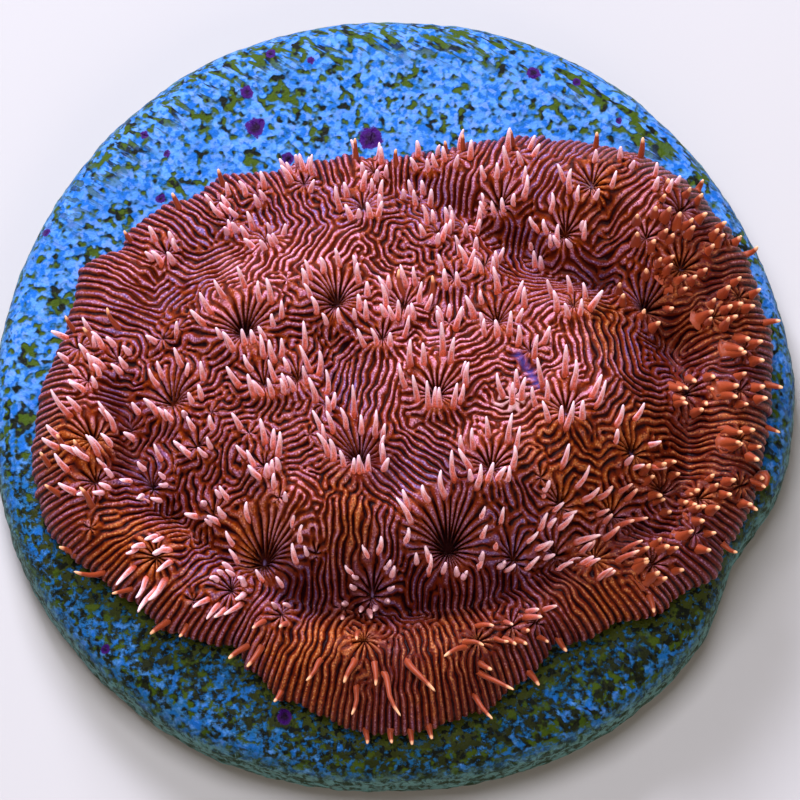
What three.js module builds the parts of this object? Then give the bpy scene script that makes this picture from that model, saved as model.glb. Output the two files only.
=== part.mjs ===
// Cactus coral: one encrusting colony grown over the top of a round, thick, round-edged disc.
// Millimetres, +Z up. The origin is the middle of the disc's flat underside.

import * as THREE from 'three';
import * as BufferGeometryUtils from 'three/addons/utils/BufferGeometryUtils.js';

// Disc: a hand-cast round of about 32 mm.
const DISC_HEIGHT = 3.6;
const DISC_TOP_ROUNDING = 1.5;
const DISC_FOOT_ROUNDING = 1.3;
// Radius of the disc every 30 degrees, counter-clockwise from +X.
const DISC_RADII = [16.1, 15.9, 16.1, 16.1, 16.2, 16.0, 16.1, 16.4, 16.4, 16.1, 16.1, 15.9];
// A flat worn into the rim by a knock, at the front right.
const DENT = { angle: -0.45, width: 0.16, depth: 0.7 };

// Colony: radius every 15 degrees about its own middle, counter-clockwise from +X.
const COLONY_MIDDLE = new THREE.Vector2(0, -1.9);
const COLONY_RADII = [
  15.1, 15.6, 16.0, 15.5, 14.1, 12.5, 11.5, 11.7, 12.3, 13.2, 13.9, 13.9,
  14.4, 14.5, 13.1, 12.0, 11.7, 12.2, 12.8, 12.2, 11.6, 12.0, 13.3, 14.6,
];
const LIP_WIDTH = 1.1;
const LIP_MIDDLE_HEIGHT = 0.75;
const PLATE_THICKNESS = 1.7;
const RIM = { rise: 0.6, inset: 2.0, width: 1.3 };

// The raised middle of the colony: radius every 20 degrees about its own middle.
const DOME_MIDDLE = new THREE.Vector2(0.5, -0.9);
const DOME_RADII = [
  11.6, 10.1, 8.1, 7.8, 8.4, 9.3, 9.6, 10.7, 11.6, 11.1, 10.9, 10.1, 9.7, 9.0, 8.9, 9.0, 9.9, 11.5,
];
const DOME_RISE = 2.5;
const DOME_SHOULDER = { start: 0.62, end: 1.0 };

// Rounded swellings on the colony: place, rise, half widths and turn.
const SWELLINGS = [
  { x: -3.8, y: -2.7, rise: 0.9, along: 3.2, across: 2.6, turn: 0 },
  { x: -5, y: 1.9, rise: 1, along: 3.4, across: 1.8, turn: 0.25 },
  { x: 1.9, y: -0.8, rise: 1, along: 2.2, across: 1.6, turn: 0 },
  { x: 7.3, y: -1.9, rise: 1.5, along: 3, across: 3.2, turn: 0 },
  { x: 7.9, y: 2.3, rise: 1, along: 1.8, across: 1.6, turn: -0.4 },
  { x: 3.9, y: -4.4, rise: 0.8, along: 2.4, across: 1.8, turn: 0 },
  { x: 7.7, y: 7.2, rise: 1.9, along: 3.8, across: 2.2, turn: -0.15 },
  { x: 0.3, y: 6.2, rise: 0.4, along: 2.6, across: 1.4, turn: 0 },
  { x: -2.6, y: -6.5, rise: 0.6, along: 2.6, across: 1.8, turn: 0 },
  { x: -0.6, y: -11.6, rise: 0.5, along: 4, across: 1.2, turn: 0 },
  { x: -12.8, y: -2, rise: 0.4, along: 1.3, across: 3.5, turn: 0 },
];

// How far the tentacles stand out of the crust: over the dome, over the rim and past the margin.
const TENTACLE_REACH = { dome: 1.4, rim: 0.7, margin: 0.4 };

const SECTORS = 72;
const CRUST_RINGS = 20;
const LIP_STEPS = 7;
const LIP_UNDERCUT = -0.9;
const WELD = 1e-4;

// Smooth closed curve through radii at equal angles.
function ringRadius(radii, angle) {
  const count = radii.length;
  const turn = ((angle / (2 * Math.PI)) % 1 + 1) % 1 * count;
  const i = Math.floor(turn);
  const t = turn - i;
  const [a, b, c, d] = [-1, 0, 1, 2].map((k) => radii[(i + k + count) % count]);
  return b + 0.5 * t * (c - a + t * (2 * a - 5 * b + 4 * c - d + t * (3 * (b - c) + d - a)));
}

function discRadius(angle) {
  const off = (angle - DENT.angle) / DENT.width;
  return ringRadius(DISC_RADII, angle) - DENT.depth * Math.exp(-off * off);
}

function swellingHeight(swelling, x, y) {
  const [dx, dy] = [x - swelling.x, y - swelling.y];
  const [c, s] = [Math.cos(swelling.turn), Math.sin(swelling.turn)];
  const along = (dx * c + dy * s) / swelling.along;
  const across = (dy * c - dx * s) / swelling.across;
  return swelling.rise * Math.exp(-(along * along + across * across));
}

// 1 on the raised middle, 0 off it.
function domeShare(x, y) {
  const [dx, dy] = [x - DOME_MIDDLE.x, y - DOME_MIDDLE.y];
  const share = Math.hypot(dx, dy) / ringRadius(DOME_RADII, Math.atan2(dy, dx));
  return 1 - THREE.MathUtils.smoothstep(share, DOME_SHOULDER.start, DOME_SHOULDER.end);
}

// Height of the tentacle tips over the disc's top face.
function tipHeight(x, y) {
  const [dx, dy] = [x - COLONY_MIDDLE.x, y - COLONY_MIDDLE.y];
  const inset = ringRadius(COLONY_RADII, Math.atan2(dy, dx)) - Math.hypot(dx, dy);
  const rim = RIM.rise * Math.exp(-(((inset - RIM.inset) / RIM.width) ** 2));
  const swellings = SWELLINGS.reduce((sum, item) => sum + swellingHeight(item, x, y), 0);
  const dome = domeShare(x, y);
  const reach = THREE.MathUtils.lerp(TENTACLE_REACH.rim, TENTACLE_REACH.dome, dome);
  return PLATE_THICKNESS + rim + DOME_RISE * dome + swellings + reach;
}

// A turned blank whose points are then moved, welded and closed.
function shapedLathe(profile, move) {
  const geometry = new THREE.LatheGeometry(profile, SECTORS);
  geometry.rotateX(Math.PI / 2);
  geometry.deleteAttribute('normal');
  geometry.deleteAttribute('uv');
  const position = geometry.attributes.position;
  const point = new THREE.Vector3();
  for (let i = 0; i < position.count; i += 1) {
    point.fromBufferAttribute(position, i);
    move(point);
    position.setXYZ(i, point.x, point.y, point.z);
  }
  return BufferGeometryUtils.mergeVertices(geometry, WELD);
}

function arc(middleR, middleZ, radius, from, to, steps) {
  return Array.from({ length: steps + 1 }, (_, i) => {
    const angle = from + ((to - from) * i) / steps;
    return new THREE.Vector2(middleR + radius * Math.cos(angle), middleZ + radius * Math.sin(angle));
  });
}

function discGeometry() {
  const size = DISC_RADII[0];
  const profile = [
    new THREE.Vector2(0, 0),
    new THREE.Vector2(size / 2, 0),
    ...arc(size - DISC_FOOT_ROUNDING, DISC_FOOT_ROUNDING, DISC_FOOT_ROUNDING, -Math.PI / 2, 0, 3),
    ...arc(size - DISC_TOP_ROUNDING, DISC_HEIGHT - DISC_TOP_ROUNDING, DISC_TOP_ROUNDING, 0, Math.PI / 2, 4),
    new THREE.Vector2(size / 2, DISC_HEIGHT),
    new THREE.Vector2(0, DISC_HEIGHT),
  ];
  return shapedLathe(profile, (point) => {
    const share = discRadius(Math.atan2(point.y, point.x)) / size;
    point.x *= share;
    point.y *= share;
  });
}

// The blank's radius runs from 0 to 1 over the crust's top and from 1 to 2 over its lip. Its height is
// 1 on the top, 0 at the lip's widest line and -1 on the flat underside.
function colonyGeometry() {
  const top = Array.from({ length: CRUST_RINGS }, (_, i) => new THREE.Vector2(i / CRUST_RINGS, 1));
  const lip = arc(1, 0, 1, Math.PI / 2, LIP_UNDERCUT, LIP_STEPS);
  const undercut = lip[LIP_STEPS].x;
  const underside = [new THREE.Vector2(undercut, -1), new THREE.Vector2(0.5, -1), new THREE.Vector2(0, -1)];
  const profile = [...top, ...lip, ...underside].reverse();
  return shapedLathe(profile, (point) => {
    const angle = Math.atan2(point.y, point.x);
    const blankRadius = Math.hypot(point.x, point.y);
    const crustRadius = ringRadius(COLONY_RADII, angle) - LIP_WIDTH;
    const lipWidth = LIP_WIDTH + TENTACLE_REACH.margin;
    const radius = Math.min(blankRadius, 1) * crustRadius + Math.max(blankRadius - 1, 0) * lipWidth;
    const level = point.z;
    point.x = COLONY_MIDDLE.x + radius * Math.cos(angle);
    point.y = COLONY_MIDDLE.y + radius * Math.sin(angle);
    const rise = tipHeight(point.x, point.y) - LIP_MIDDLE_HEIGHT;
    const above = LIP_MIDDLE_HEIGHT + (level > 0 ? level * rise : level * LIP_MIDDLE_HEIGHT);
    point.z = DISC_HEIGHT + above;
  });
}

function piece(name, geometry, color, roughness) {
  const mesh = new THREE.Mesh(geometry, new THREE.MeshStandardMaterial({ color, roughness, metalness: 0 }));
  mesh.name = name;
  return mesh;
}

const coral = new THREE.Group();
coral.add(piece('frag_disc', discGeometry(), 0x6f9fe0, 0.85));
coral.add(piece('coral_colony', colonyGeometry(), 0xb0503c, 0.6));

export default coral;
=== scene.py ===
"""Cactus coral: an encrusting colony grown over a round frag disc, finished for a studio picture."""

import logging
import math
from dataclasses import dataclass, field
from enum import Enum
from typing import Callable, Sequence

import bpy
import numpy as np
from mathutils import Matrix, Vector


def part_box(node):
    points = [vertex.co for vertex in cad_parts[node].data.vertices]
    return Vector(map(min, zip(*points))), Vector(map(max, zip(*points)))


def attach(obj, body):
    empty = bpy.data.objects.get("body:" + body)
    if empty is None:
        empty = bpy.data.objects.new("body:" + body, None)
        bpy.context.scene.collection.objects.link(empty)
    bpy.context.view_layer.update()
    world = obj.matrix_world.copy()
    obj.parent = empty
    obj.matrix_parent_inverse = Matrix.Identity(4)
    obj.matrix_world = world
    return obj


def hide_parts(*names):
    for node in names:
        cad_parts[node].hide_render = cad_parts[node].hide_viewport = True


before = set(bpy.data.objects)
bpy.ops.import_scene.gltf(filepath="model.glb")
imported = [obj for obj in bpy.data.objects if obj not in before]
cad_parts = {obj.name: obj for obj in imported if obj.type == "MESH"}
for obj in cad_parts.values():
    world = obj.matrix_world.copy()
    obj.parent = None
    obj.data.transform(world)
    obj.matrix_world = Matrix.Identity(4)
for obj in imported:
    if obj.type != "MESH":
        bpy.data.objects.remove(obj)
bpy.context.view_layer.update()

MM = 0.001
LOG = logging.getLogger("coral")
Colour = tuple[float, float, float]
Pair = tuple[float, float]
Array = np.ndarray
Height = Callable[[Array, Array], Array]
IMAGE_SIDE = 800


class Slot(Enum):
    """Names of the two materials, disc and coral; nothing in this script uses them."""

    DISC = "disc"
    CORAL = "coral"


def srgb(red: int, green: int, blue: int) -> Colour:
    """Turns a display colour into a linear one.

    Args:
        red: Red, 0 to 255.
        green: Green, 0 to 255.
        blue: Blue, 0 to 255.

    Returns:
        The linear colour, 0 to 1.
    """
    def linear(value: float) -> float:
        """Undoes the display curve of one channel."""
        return value / 12.92 if value <= 0.04045 else ((value + 0.055) / 1.055) ** 2.4

    return (linear(red / 255), linear(green / 255), linear(blue / 255))


def smoothstep(value: Array, low: float, high: float) -> Array:
    """Rises from 0 to 1 between two limits.

    Args:
        value: The values to map.
        low: Where the rise starts.
        high: Where the rise ends.

    Returns:
        The eased share of the rise at each value.
    """
    share = np.clip((value - low) / (high - low), 0.0, 1.0)
    return share * share * (3.0 - 2.0 * share)


def ring_radius(radii: Sequence[float], angle: Array) -> Array:
    """Reads a smooth closed outline through radii at equal angles.

    Args:
        radii: Radii, counter-clockwise from +X.
        angle: Angles in radians.

    Returns:
        The outline's radius at each angle.
    """
    knots = np.asarray(radii)
    turn = (angle / (2 * np.pi)) % 1.0 * len(knots)
    first = np.floor(turn).astype(int)
    t = turn - first
    a, b, c, d = (knots[(first + k) % len(knots)] for k in (-1, 0, 1, 2))
    return b + 0.5 * t * (c - a + t * (2 * a - 5 * b + 4 * c - d + t * (3 * (b - c) + d - a)))


def unit(vectors: Array) -> Array:
    """Gives vectors the length 1.

    Args:
        vectors: Vectors along the last axis.

    Returns:
        Unit vectors of the same headings.
    """
    return vectors / np.linalg.norm(vectors, axis=-1, keepdims=True)


@dataclass(frozen=True)
class Slope:
    """A value that grows along a straight line: its start and its gain."""

    start: float
    gain: float

    def at(self, place: float) -> float:
        """Reads the value, with 0 at the start of the line and 1 at its end."""
        return self.start + self.gain * place


@dataclass(frozen=True)
class Grain:
    """One layer of smooth seeded noise over the plan: width of its swells, seed and weight."""

    size: float
    seed: int
    weight: float = 1.0
    cells: int = 128
    shift: Pair = (57.3, 31.7)

    def at(self, x: Array, y: Array) -> Array:
        """Reads the noise.

        Args:
            x: Places along X.
            y: Places along Y.

        Returns:
            Noise of about -1 to 1 times the weight at each place.
        """
        lattice = np.random.default_rng(self.seed).uniform(-1.0, 1.0, (self.cells, self.cells))
        u = x / self.size + self.shift[0]
        v = y / self.size + self.shift[1]
        i = np.floor(u).astype(int)
        j = np.floor(v).astype(int)
        s, t = smoothstep(u - i, 0, 1), smoothstep(v - j, 0, 1)
        left, right = i % self.cells, (i + 1) % self.cells
        low, high = j % self.cells, (j + 1) % self.cells
        near = lattice[low, left] * (1 - s) + lattice[low, right] * s
        far = lattice[high, left] * (1 - s) + lattice[high, right] * s
        return self.weight * (near * (1 - t) + far * t)


def grains(layers: Sequence[Grain], x: Array, y: Array) -> Array:
    """Adds up layers of noise.

    Args:
        layers: The layers.
        x: Places along X.
        y: Places along Y.

    Returns:
        Their sum at each place.
    """
    return sum(layer.at(x, y) for layer in layers)


@dataclass(frozen=True)
class Swelling:
    """A rounded hump of the colony, in millimetres and radians."""

    x: float
    y: float
    rise: float
    along: float
    across: float
    turn: float

    def height(self, x: Array, y: Array) -> Array:
        """The hump's own height at each place.

        Args:
            x: Places along X.
            y: Places along Y.

        Returns:
            Height in millimetres.
        """
        c, s = math.cos(self.turn), math.sin(self.turn)
        along = ((x - self.x) * c + (y - self.y) * s) / self.along
        across = ((y - self.y) * c - (x - self.x) * s) / self.across
        return self.rise * np.exp(-(along * along + across * across))


@dataclass(frozen=True)
class Fold:
    """A valley or crease that runs along a line of points, in millimetres."""

    points: tuple[Pair, ...]
    depth: float
    width: float

    def height(self, x: Array, y: Array) -> Array:
        """How far the fold lowers each place.

        Args:
            x: Places along X.
            y: Places along Y.

        Returns:
            Height in millimetres, zero or less.
        """
        nearest = np.full(np.shape(x), np.inf)
        for (ax, ay), (bx, by) in zip(self.points, self.points[1:]):
            length = (bx - ax) ** 2 + (by - ay) ** 2
            share = np.clip(((x - ax) * (bx - ax) + (y - ay) * (by - ay)) / length, 0, 1)
            gap = np.hypot(x - ax - share * (bx - ax), y - ay - share * (by - ay))
            nearest = np.minimum(nearest, gap)
        return -self.depth * np.exp(-((nearest / self.width) ** 2))


@dataclass(frozen=True)
class Lobe:
    """A place where the colony's margin grows out or stays back.

    Its angle and width are in degrees, and its reach is in millimetres.
    """

    angle: float
    width: float
    reach: float


@dataclass(frozen=True)
class Relief:
    """The colony's shape without its ridges, in millimetres over the disc's top face."""

    middle: Pair = (0.0, -1.9)
    radii: tuple[float, ...] = (
        15.1, 15.6, 16.0, 15.5, 14.1, 12.5, 11.5, 11.7, 12.3, 13.2, 13.9, 13.9,
        14.4, 14.5, 13.1, 12.0, 11.7, 12.2, 12.8, 12.2, 11.6, 12.0, 13.3, 14.6,
    )
    lobes: tuple[Lobe, ...] = (
        Lobe(334, 3.5, 0.6), Lobe(324, 3.0, 0.35), Lobe(306, 4.0, -0.5), Lobe(288, 3.5, 0.35),
        Lobe(247, 3.0, 0.25), Lobe(235, 3.5, -0.65), Lobe(221, 3.5, 0.4), Lobe(199, 4.0, 0.2),
        Lobe(152, 4.0, 0.3), Lobe(146, 2.5, -0.3), Lobe(124, 4.0, 0.3), Lobe(97, 4.0, 0.2),
        Lobe(69, 4.0, 0.2), Lobe(46, 4.0, 0.15), Lobe(14, 3.0, 0.15),
    )
    setback: float = 0.17
    frill: float = 0.13
    frill_grain: tuple[Grain, ...] = (Grain(0.9, 41), Grain(0.36, 42, 0.8))
    lip_width: float = 1.1
    lip_middle: float = 0.75
    lip_arc: float = 1.2
    lip_undercut: float = 0.9
    plate: float = 1.7
    rim_rise: float = 0.6
    rim_inset: float = 2.0
    rim_width: float = 1.3
    dome_middle: Pair = (0.5, -0.9)
    dome_radii: tuple[float, ...] = (
        11.6, 10.1, 8.1, 7.8, 8.4, 9.3, 9.6, 10.7, 11.6, 11.1, 10.9, 10.1, 9.7, 9.0, 8.9, 9.0, 9.9, 11.5,
    )
    dome_rise: float = 2.5
    dome_shoulder: Pair = (0.62, 1.0)
    swellings: tuple[Swelling, ...] = (
        Swelling(-3.8, -2.7, 0.9, 3.2, 2.6, 0.0),
        Swelling(-5.0, 1.9, 1.0, 3.4, 1.8, 0.25),
        Swelling(1.9, -0.8, 1.0, 2.2, 1.6, 0.0),
        Swelling(7.3, -1.9, 1.5, 3.0, 3.2, 0.0),
        Swelling(7.9, 2.3, 1.0, 1.8, 1.6, -0.4),
        Swelling(3.9, -4.4, 0.8, 2.4, 1.8, 0.0),
        Swelling(7.7, 7.2, 1.9, 3.8, 2.2, -0.15),
        Swelling(0.3, 6.2, 0.4, 2.6, 1.4, 0.0),
        Swelling(-2.6, -6.5, 0.6, 2.6, 1.8, 0.0),
        Swelling(-0.6, -11.6, 0.5, 4.0, 1.2, 0.0),
        Swelling(-12.8, -2.0, 0.4, 1.3, 3.5, 0.0),
    )
    folds: tuple[Fold, ...] = (
        Fold(((-0.2, 8.1), (3.0, 6.7), (6.4, 4.4), (9.4, 3.6), (10.8, 1.8)), 0.9, 0.8),
        Fold(((-2.6, 1.1), (-2.0, -1.1), (-1.0, -4.5)), 0.6, 0.7),
        Fold(((11.2, 1.4), (11.8, -0.8), (11.8, -4.0), (10.4, -6.2)), 0.8, 0.8),
        Fold(((-9.0, -5.5), (-6.6, -7.9), (-4.2, -9.3), (-0.6, -9.8), (3.0, -9.6), (6.6, -7.9)), 0.75, 0.55),
        Fold(((-11.4, 1.4), (-10.8, -1.3), (-10.4, -3.4), (-9.2, -5.4)), 0.5, 0.7),
    )
    swell: Grain = Grain(2.1, 5, 0.12)

    def polar(self, x: Array, y: Array) -> tuple[Array, Array]:
        """Distance and angle from the colony's middle.

        Args:
            x: Places along X.
            y: Places along Y.

        Returns:
            Distance in millimetres and angle in radians.
        """
        dx, dy = x - self.middle[0], y - self.middle[1]
        return np.hypot(dx, dy), np.arctan2(dy, dx)

    def outline(self, angle: Array) -> Array:
        """The colony's margin with its lobes.

        Args:
            angle: Angles about the colony's middle, in radians.

        Returns:
            Radius in millimetres.
        """
        radius = ring_radius(self.radii, angle)
        for lobe in self.lobes:
            off = (np.degrees(angle) - lobe.angle + 180) % 360 - 180
            radius = radius + lobe.reach * np.exp(-((off / lobe.width) ** 2))
        x, y = radius * np.cos(angle), radius * np.sin(angle)
        return radius - self.setback + self.frill * grains(self.frill_grain, x, y)

    def smooth_height(self, x: Array, y: Array) -> Array:
        """Height of the colony's upper side before polyps and ridges.

        Args:
            x: Places along X.
            y: Places along Y.

        Returns:
            Height in millimetres.
        """
        reach, angle = self.polar(x, y)
        inset = self.outline(angle) - reach
        rim = self.rim_rise * np.exp(-(((inset - self.rim_inset) / self.rim_width) ** 2))
        dx, dy = x - self.dome_middle[0], y - self.dome_middle[1]
        share = np.hypot(dx, dy) / ring_radius(self.dome_radii, np.arctan2(dy, dx))
        dome = self.dome_rise * (1 - smoothstep(share, *self.dome_shoulder))
        humps = sum(item.height(x, y) for item in self.swellings + self.folds)
        return self.plate + rim + dome + humps + self.swell.at(x, y)

    def crust_radius(self, angle: Array) -> Array:
        """Where the upper side ends and the lip starts.

        Args:
            angle: Angles about the colony's middle, in radians.

        Returns:
            Radius in millimetres.
        """
        return self.outline(angle) - self.lip_width

    def sheet_radius(self, angle: Array) -> Array:
        """Radius of the whole crust laid flat, lip unrolled.

        Args:
            angle: Angles about the colony's middle, in radians.

        Returns:
            Radius in millimetres.
        """
        return self.crust_radius(angle) + self.lip_arc * (np.pi / 2 + self.lip_undercut)

    def surface(self, u: Array, v: Array, height: Height) -> Array:
        """Wraps places on the unrolled sheet over the colony.

        Args:
            u: Places on the sheet along X.
            v: Places on the sheet along Y.
            height: Height of the upper side at a place of the plan.

        Returns:
            Points in millimetres over the disc's top face, one row each.
        """
        reach, angle = self.polar(u, v)
        crust = self.crust_radius(angle)
        roll = np.pi / 2 - np.maximum(reach - crust, 0) / self.lip_arc
        radius = np.minimum(reach, crust) + self.lip_width * np.cos(roll)
        x = self.middle[0] + radius * np.cos(angle)
        y = self.middle[1] + radius * np.sin(angle)
        rise = np.where(roll > 0, height(x, y) - self.lip_middle, self.lip_middle)
        return np.stack([x, y, self.lip_middle + rise * np.sin(roll)], axis=-1)


@dataclass(frozen=True)
class PhotoFrame:
    """How the photograph's 800 by 800 pixels map to the plan."""

    middle_column: float = 394.0
    middle_row: float = 390.0
    pixels_per_mm: float = 24.9
    elevation: float = math.radians(72.0)
    first_level: float = 2.0
    rounds: int = 14
    least_near: float = 0.02

    def plan(self, column: Array, row: Array, height: Height) -> tuple[Array, Array]:
        """Finds the place on the colony that a pixel shows.

        Args:
            column: Pixel columns.
            row: Pixel rows.
            height: Height of the surface over the disc's top at a place of the plan.

        Returns:
            Places along X and Y in millimetres.
        """
        x = (np.asarray(column, float) - self.middle_column) / self.pixels_per_mm
        level = np.full(x.shape, self.first_level)
        up = (self.middle_row - np.asarray(row, float)) / self.pixels_per_mm
        for _ in range(self.rounds):
            y = (up - level * math.cos(self.elevation)) / math.sin(self.elevation)
            level = 0.5 * (level + height(x, y))
        return x, y

    def pixel(self, x: Array, y: Array, height: Height) -> tuple[Array, Array]:
        """Finds the pixel that shows a place on the colony.

        Args:
            x: Places along X.
            y: Places along Y.
            height: Height of the surface over the disc's top at a place of the plan.

        Returns:
            Pixel columns and rows.
        """
        up = y * math.sin(self.elevation) + height(x, y) * math.cos(self.elevation)
        return self.middle_column + x * self.pixels_per_mm, self.middle_row - up * self.pixels_per_mm

    def direction(self, right: Array, down: Array, length: Array) -> Array:
        """Turns a direction in the picture into one in space, leaning to the viewer for the rest.

        Args:
            right: Pixels to the right.
            down: Pixels downward.
            length: The real lengths in millimetres.

        Returns:
            Unit vectors, one row each.
        """
        across = right / self.pixels_per_mm
        up = -down / self.pixels_per_mm
        near = np.sqrt(np.maximum(length * length - across * across - up * up, self.least_near))
        s, c = math.sin(self.elevation), math.cos(self.elevation)
        return unit(np.stack([across, up * s - near * c, up * c + near * s], axis=-1))


@dataclass(frozen=True)
class Polyp:
    """One polyp as read off the photograph: its pixel, crown radius in pixels, tentacles and pit darkness,
    which sets both the pit's depth and its painted shadow.
    """

    column: float
    row: float
    crown: float
    tentacles: int
    pit: float = 0.5


def polyps(*rows: tuple[float, ...]) -> tuple[Polyp, ...]:
    """Makes polyps from their measures.

    Args:
        rows: Column, row, crown radius, tentacle count and, where it differs, pit darkness.

    Returns:
        The polyps.
    """
    return tuple(Polyp(*row) for row in rows)


DOME_POLYPS = polyps(
    (247, 334, 36, 14, 1.0), (183, 333, 8, 0), (168, 342, 12, 2), (120, 364, 16, 6), (178, 404, 30, 12),
    (216, 415, 9, 0), (203, 447, 16, 6), (134, 434, 14, 3), (268, 468, 17, 10), (252, 436, 8, 1),
    (268, 388, 24, 9), (298, 383, 24, 8), (337, 304, 34, 13, 0.8), (289, 287, 8, 0), (268, 246, 20, 8),
    (403, 311, 24, 12), (383, 342, 20, 6), (365, 212, 24, 10, 0.9), (325, 409, 11, 4), (312, 439, 8, 0),
    (358, 462, 34, 18, 0.9), (283, 501, 8, 1), (268, 558, 40, 10, 0.8), (218, 515, 16, 7), (437, 396, 30, 13),
    (449, 328, 10, 5), (497, 326, 26, 10), (530, 355, 16, 3), (513, 402, 12, 4, 0.0), (490, 470, 28, 11),
    (564, 414, 28, 12), (447, 545, 42, 17, 1.0), (538, 478, 8, 0), (317, 552, 10, 1), (572, 310, 20, 7),
    (626, 452, 22, 7, 0.9), (643, 311, 28, 8, 0.9), (556, 503, 20, 7), (607, 515, 20, 8), (656, 491, 20, 10),
    (684, 394, 20, 9, 0.9),
)
UPPER_POLYPS = polyps(
    (679, 271, 25, 8), (646, 240, 16, 5), (677, 214, 22, 8), (591, 189, 24, 4, 0.0), (566, 234, 24, 9),
    (540, 262, 14, 5), (502, 206, 22, 10), (462, 233, 16, 6), (436, 238, 16, 6), (482, 270, 20, 8),
    (418, 207, 14, 5), (455, 283, 16, 4), (305, 188, 16, 4), (222, 206, 12, 3), (232, 228, 14, 6),
    (168, 257, 16, 6), (258, 200, 14, 4), (298, 172, 12, 4), (372, 174, 18, 6), (428, 168, 14, 5),
    (458, 162, 14, 5), (520, 160, 12, 4), (630, 165, 10, 2), (663, 190, 12, 4),
)
RIM_POLYPS = polyps(
    (83, 352, 18, 6), (90, 385, 14, 6), (94, 443, 28, 12), (98, 484, 22, 8), (95, 528, 8, 0, 0.0),
    (156, 488, 20, 8, 0.9), (160, 555, 24, 11), (190, 542, 8, 0), (196, 598, 8, 0), (235, 590, 20, 10, 0.9),
    (284, 615, 16, 4), (373, 591, 22, 12), (345, 610, 8, 2), (365, 640, 20, 6), (475, 640, 18, 5),
    (508, 625, 16, 4), (530, 622, 14, 4), (510, 558, 22, 7), (550, 552, 18, 8), (592, 562, 22, 9),
    (648, 563, 20, 9), (696, 500, 18, 8), (690, 535, 14, 4), (711, 320, 14, 6), (735, 300, 16, 5),
    (740, 350, 14, 5), (735, 392, 16, 6), (735, 440, 16, 6), (735, 485, 16, 5), (722, 240, 12, 4),
)


@dataclass(frozen=True)
class Lean:
    """How the tentacles round one pixel lie in the photograph: its pixel, then pixels right and down."""

    column: float
    row: float
    right: float
    down: float


LEANS = (
    Lean(200, 190, -12, -16), Lean(400, 160, -2, -22), Lean(600, 160, 3, -18), Lean(300, 420, -7, -27),
    Lean(70, 450, -14, -20), Lean(450, 400, -1, -30), Lean(570, 400, 1, -34), Lean(690, 380, 10, 4),
    Lean(760, 400, 26, 2), Lean(720, 260, 12, -14), Lean(590, 550, 20, -14), Lean(690, 520, 18, -2),
    Lean(480, 630, 22, 6), Lean(380, 690, -4, 34), Lean(150, 600, -18, 22), Lean(60, 540, -18, -4),
    Lean(270, 560, -4, -24), Lean(447, 545, -3, -28), Lean(240, 640, -18, 22), Lean(560, 240, -4, -22),
)
LEAN_REACH = 30.0
LEAN_FALL = 1.5


def lean_at(columns: Array, rows: Array) -> tuple[Array, Array]:
    """Blends the leans around each pixel.

    Args:
        columns: Pixel columns.
        rows: Pixel rows.

    Returns:
        Pixels right and pixels down.
    """
    away = [(columns - a.column) ** 2 + (rows - a.row) ** 2 + LEAN_REACH ** 2 for a in LEANS]
    weight = np.array([1 / squared ** LEAN_FALL for squared in away])
    right = np.array([a.right for a in LEANS]) @ weight
    down = np.array([a.down for a in LEANS]) @ weight
    return right / weight.sum(axis=0), down / weight.sum(axis=0)


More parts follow.
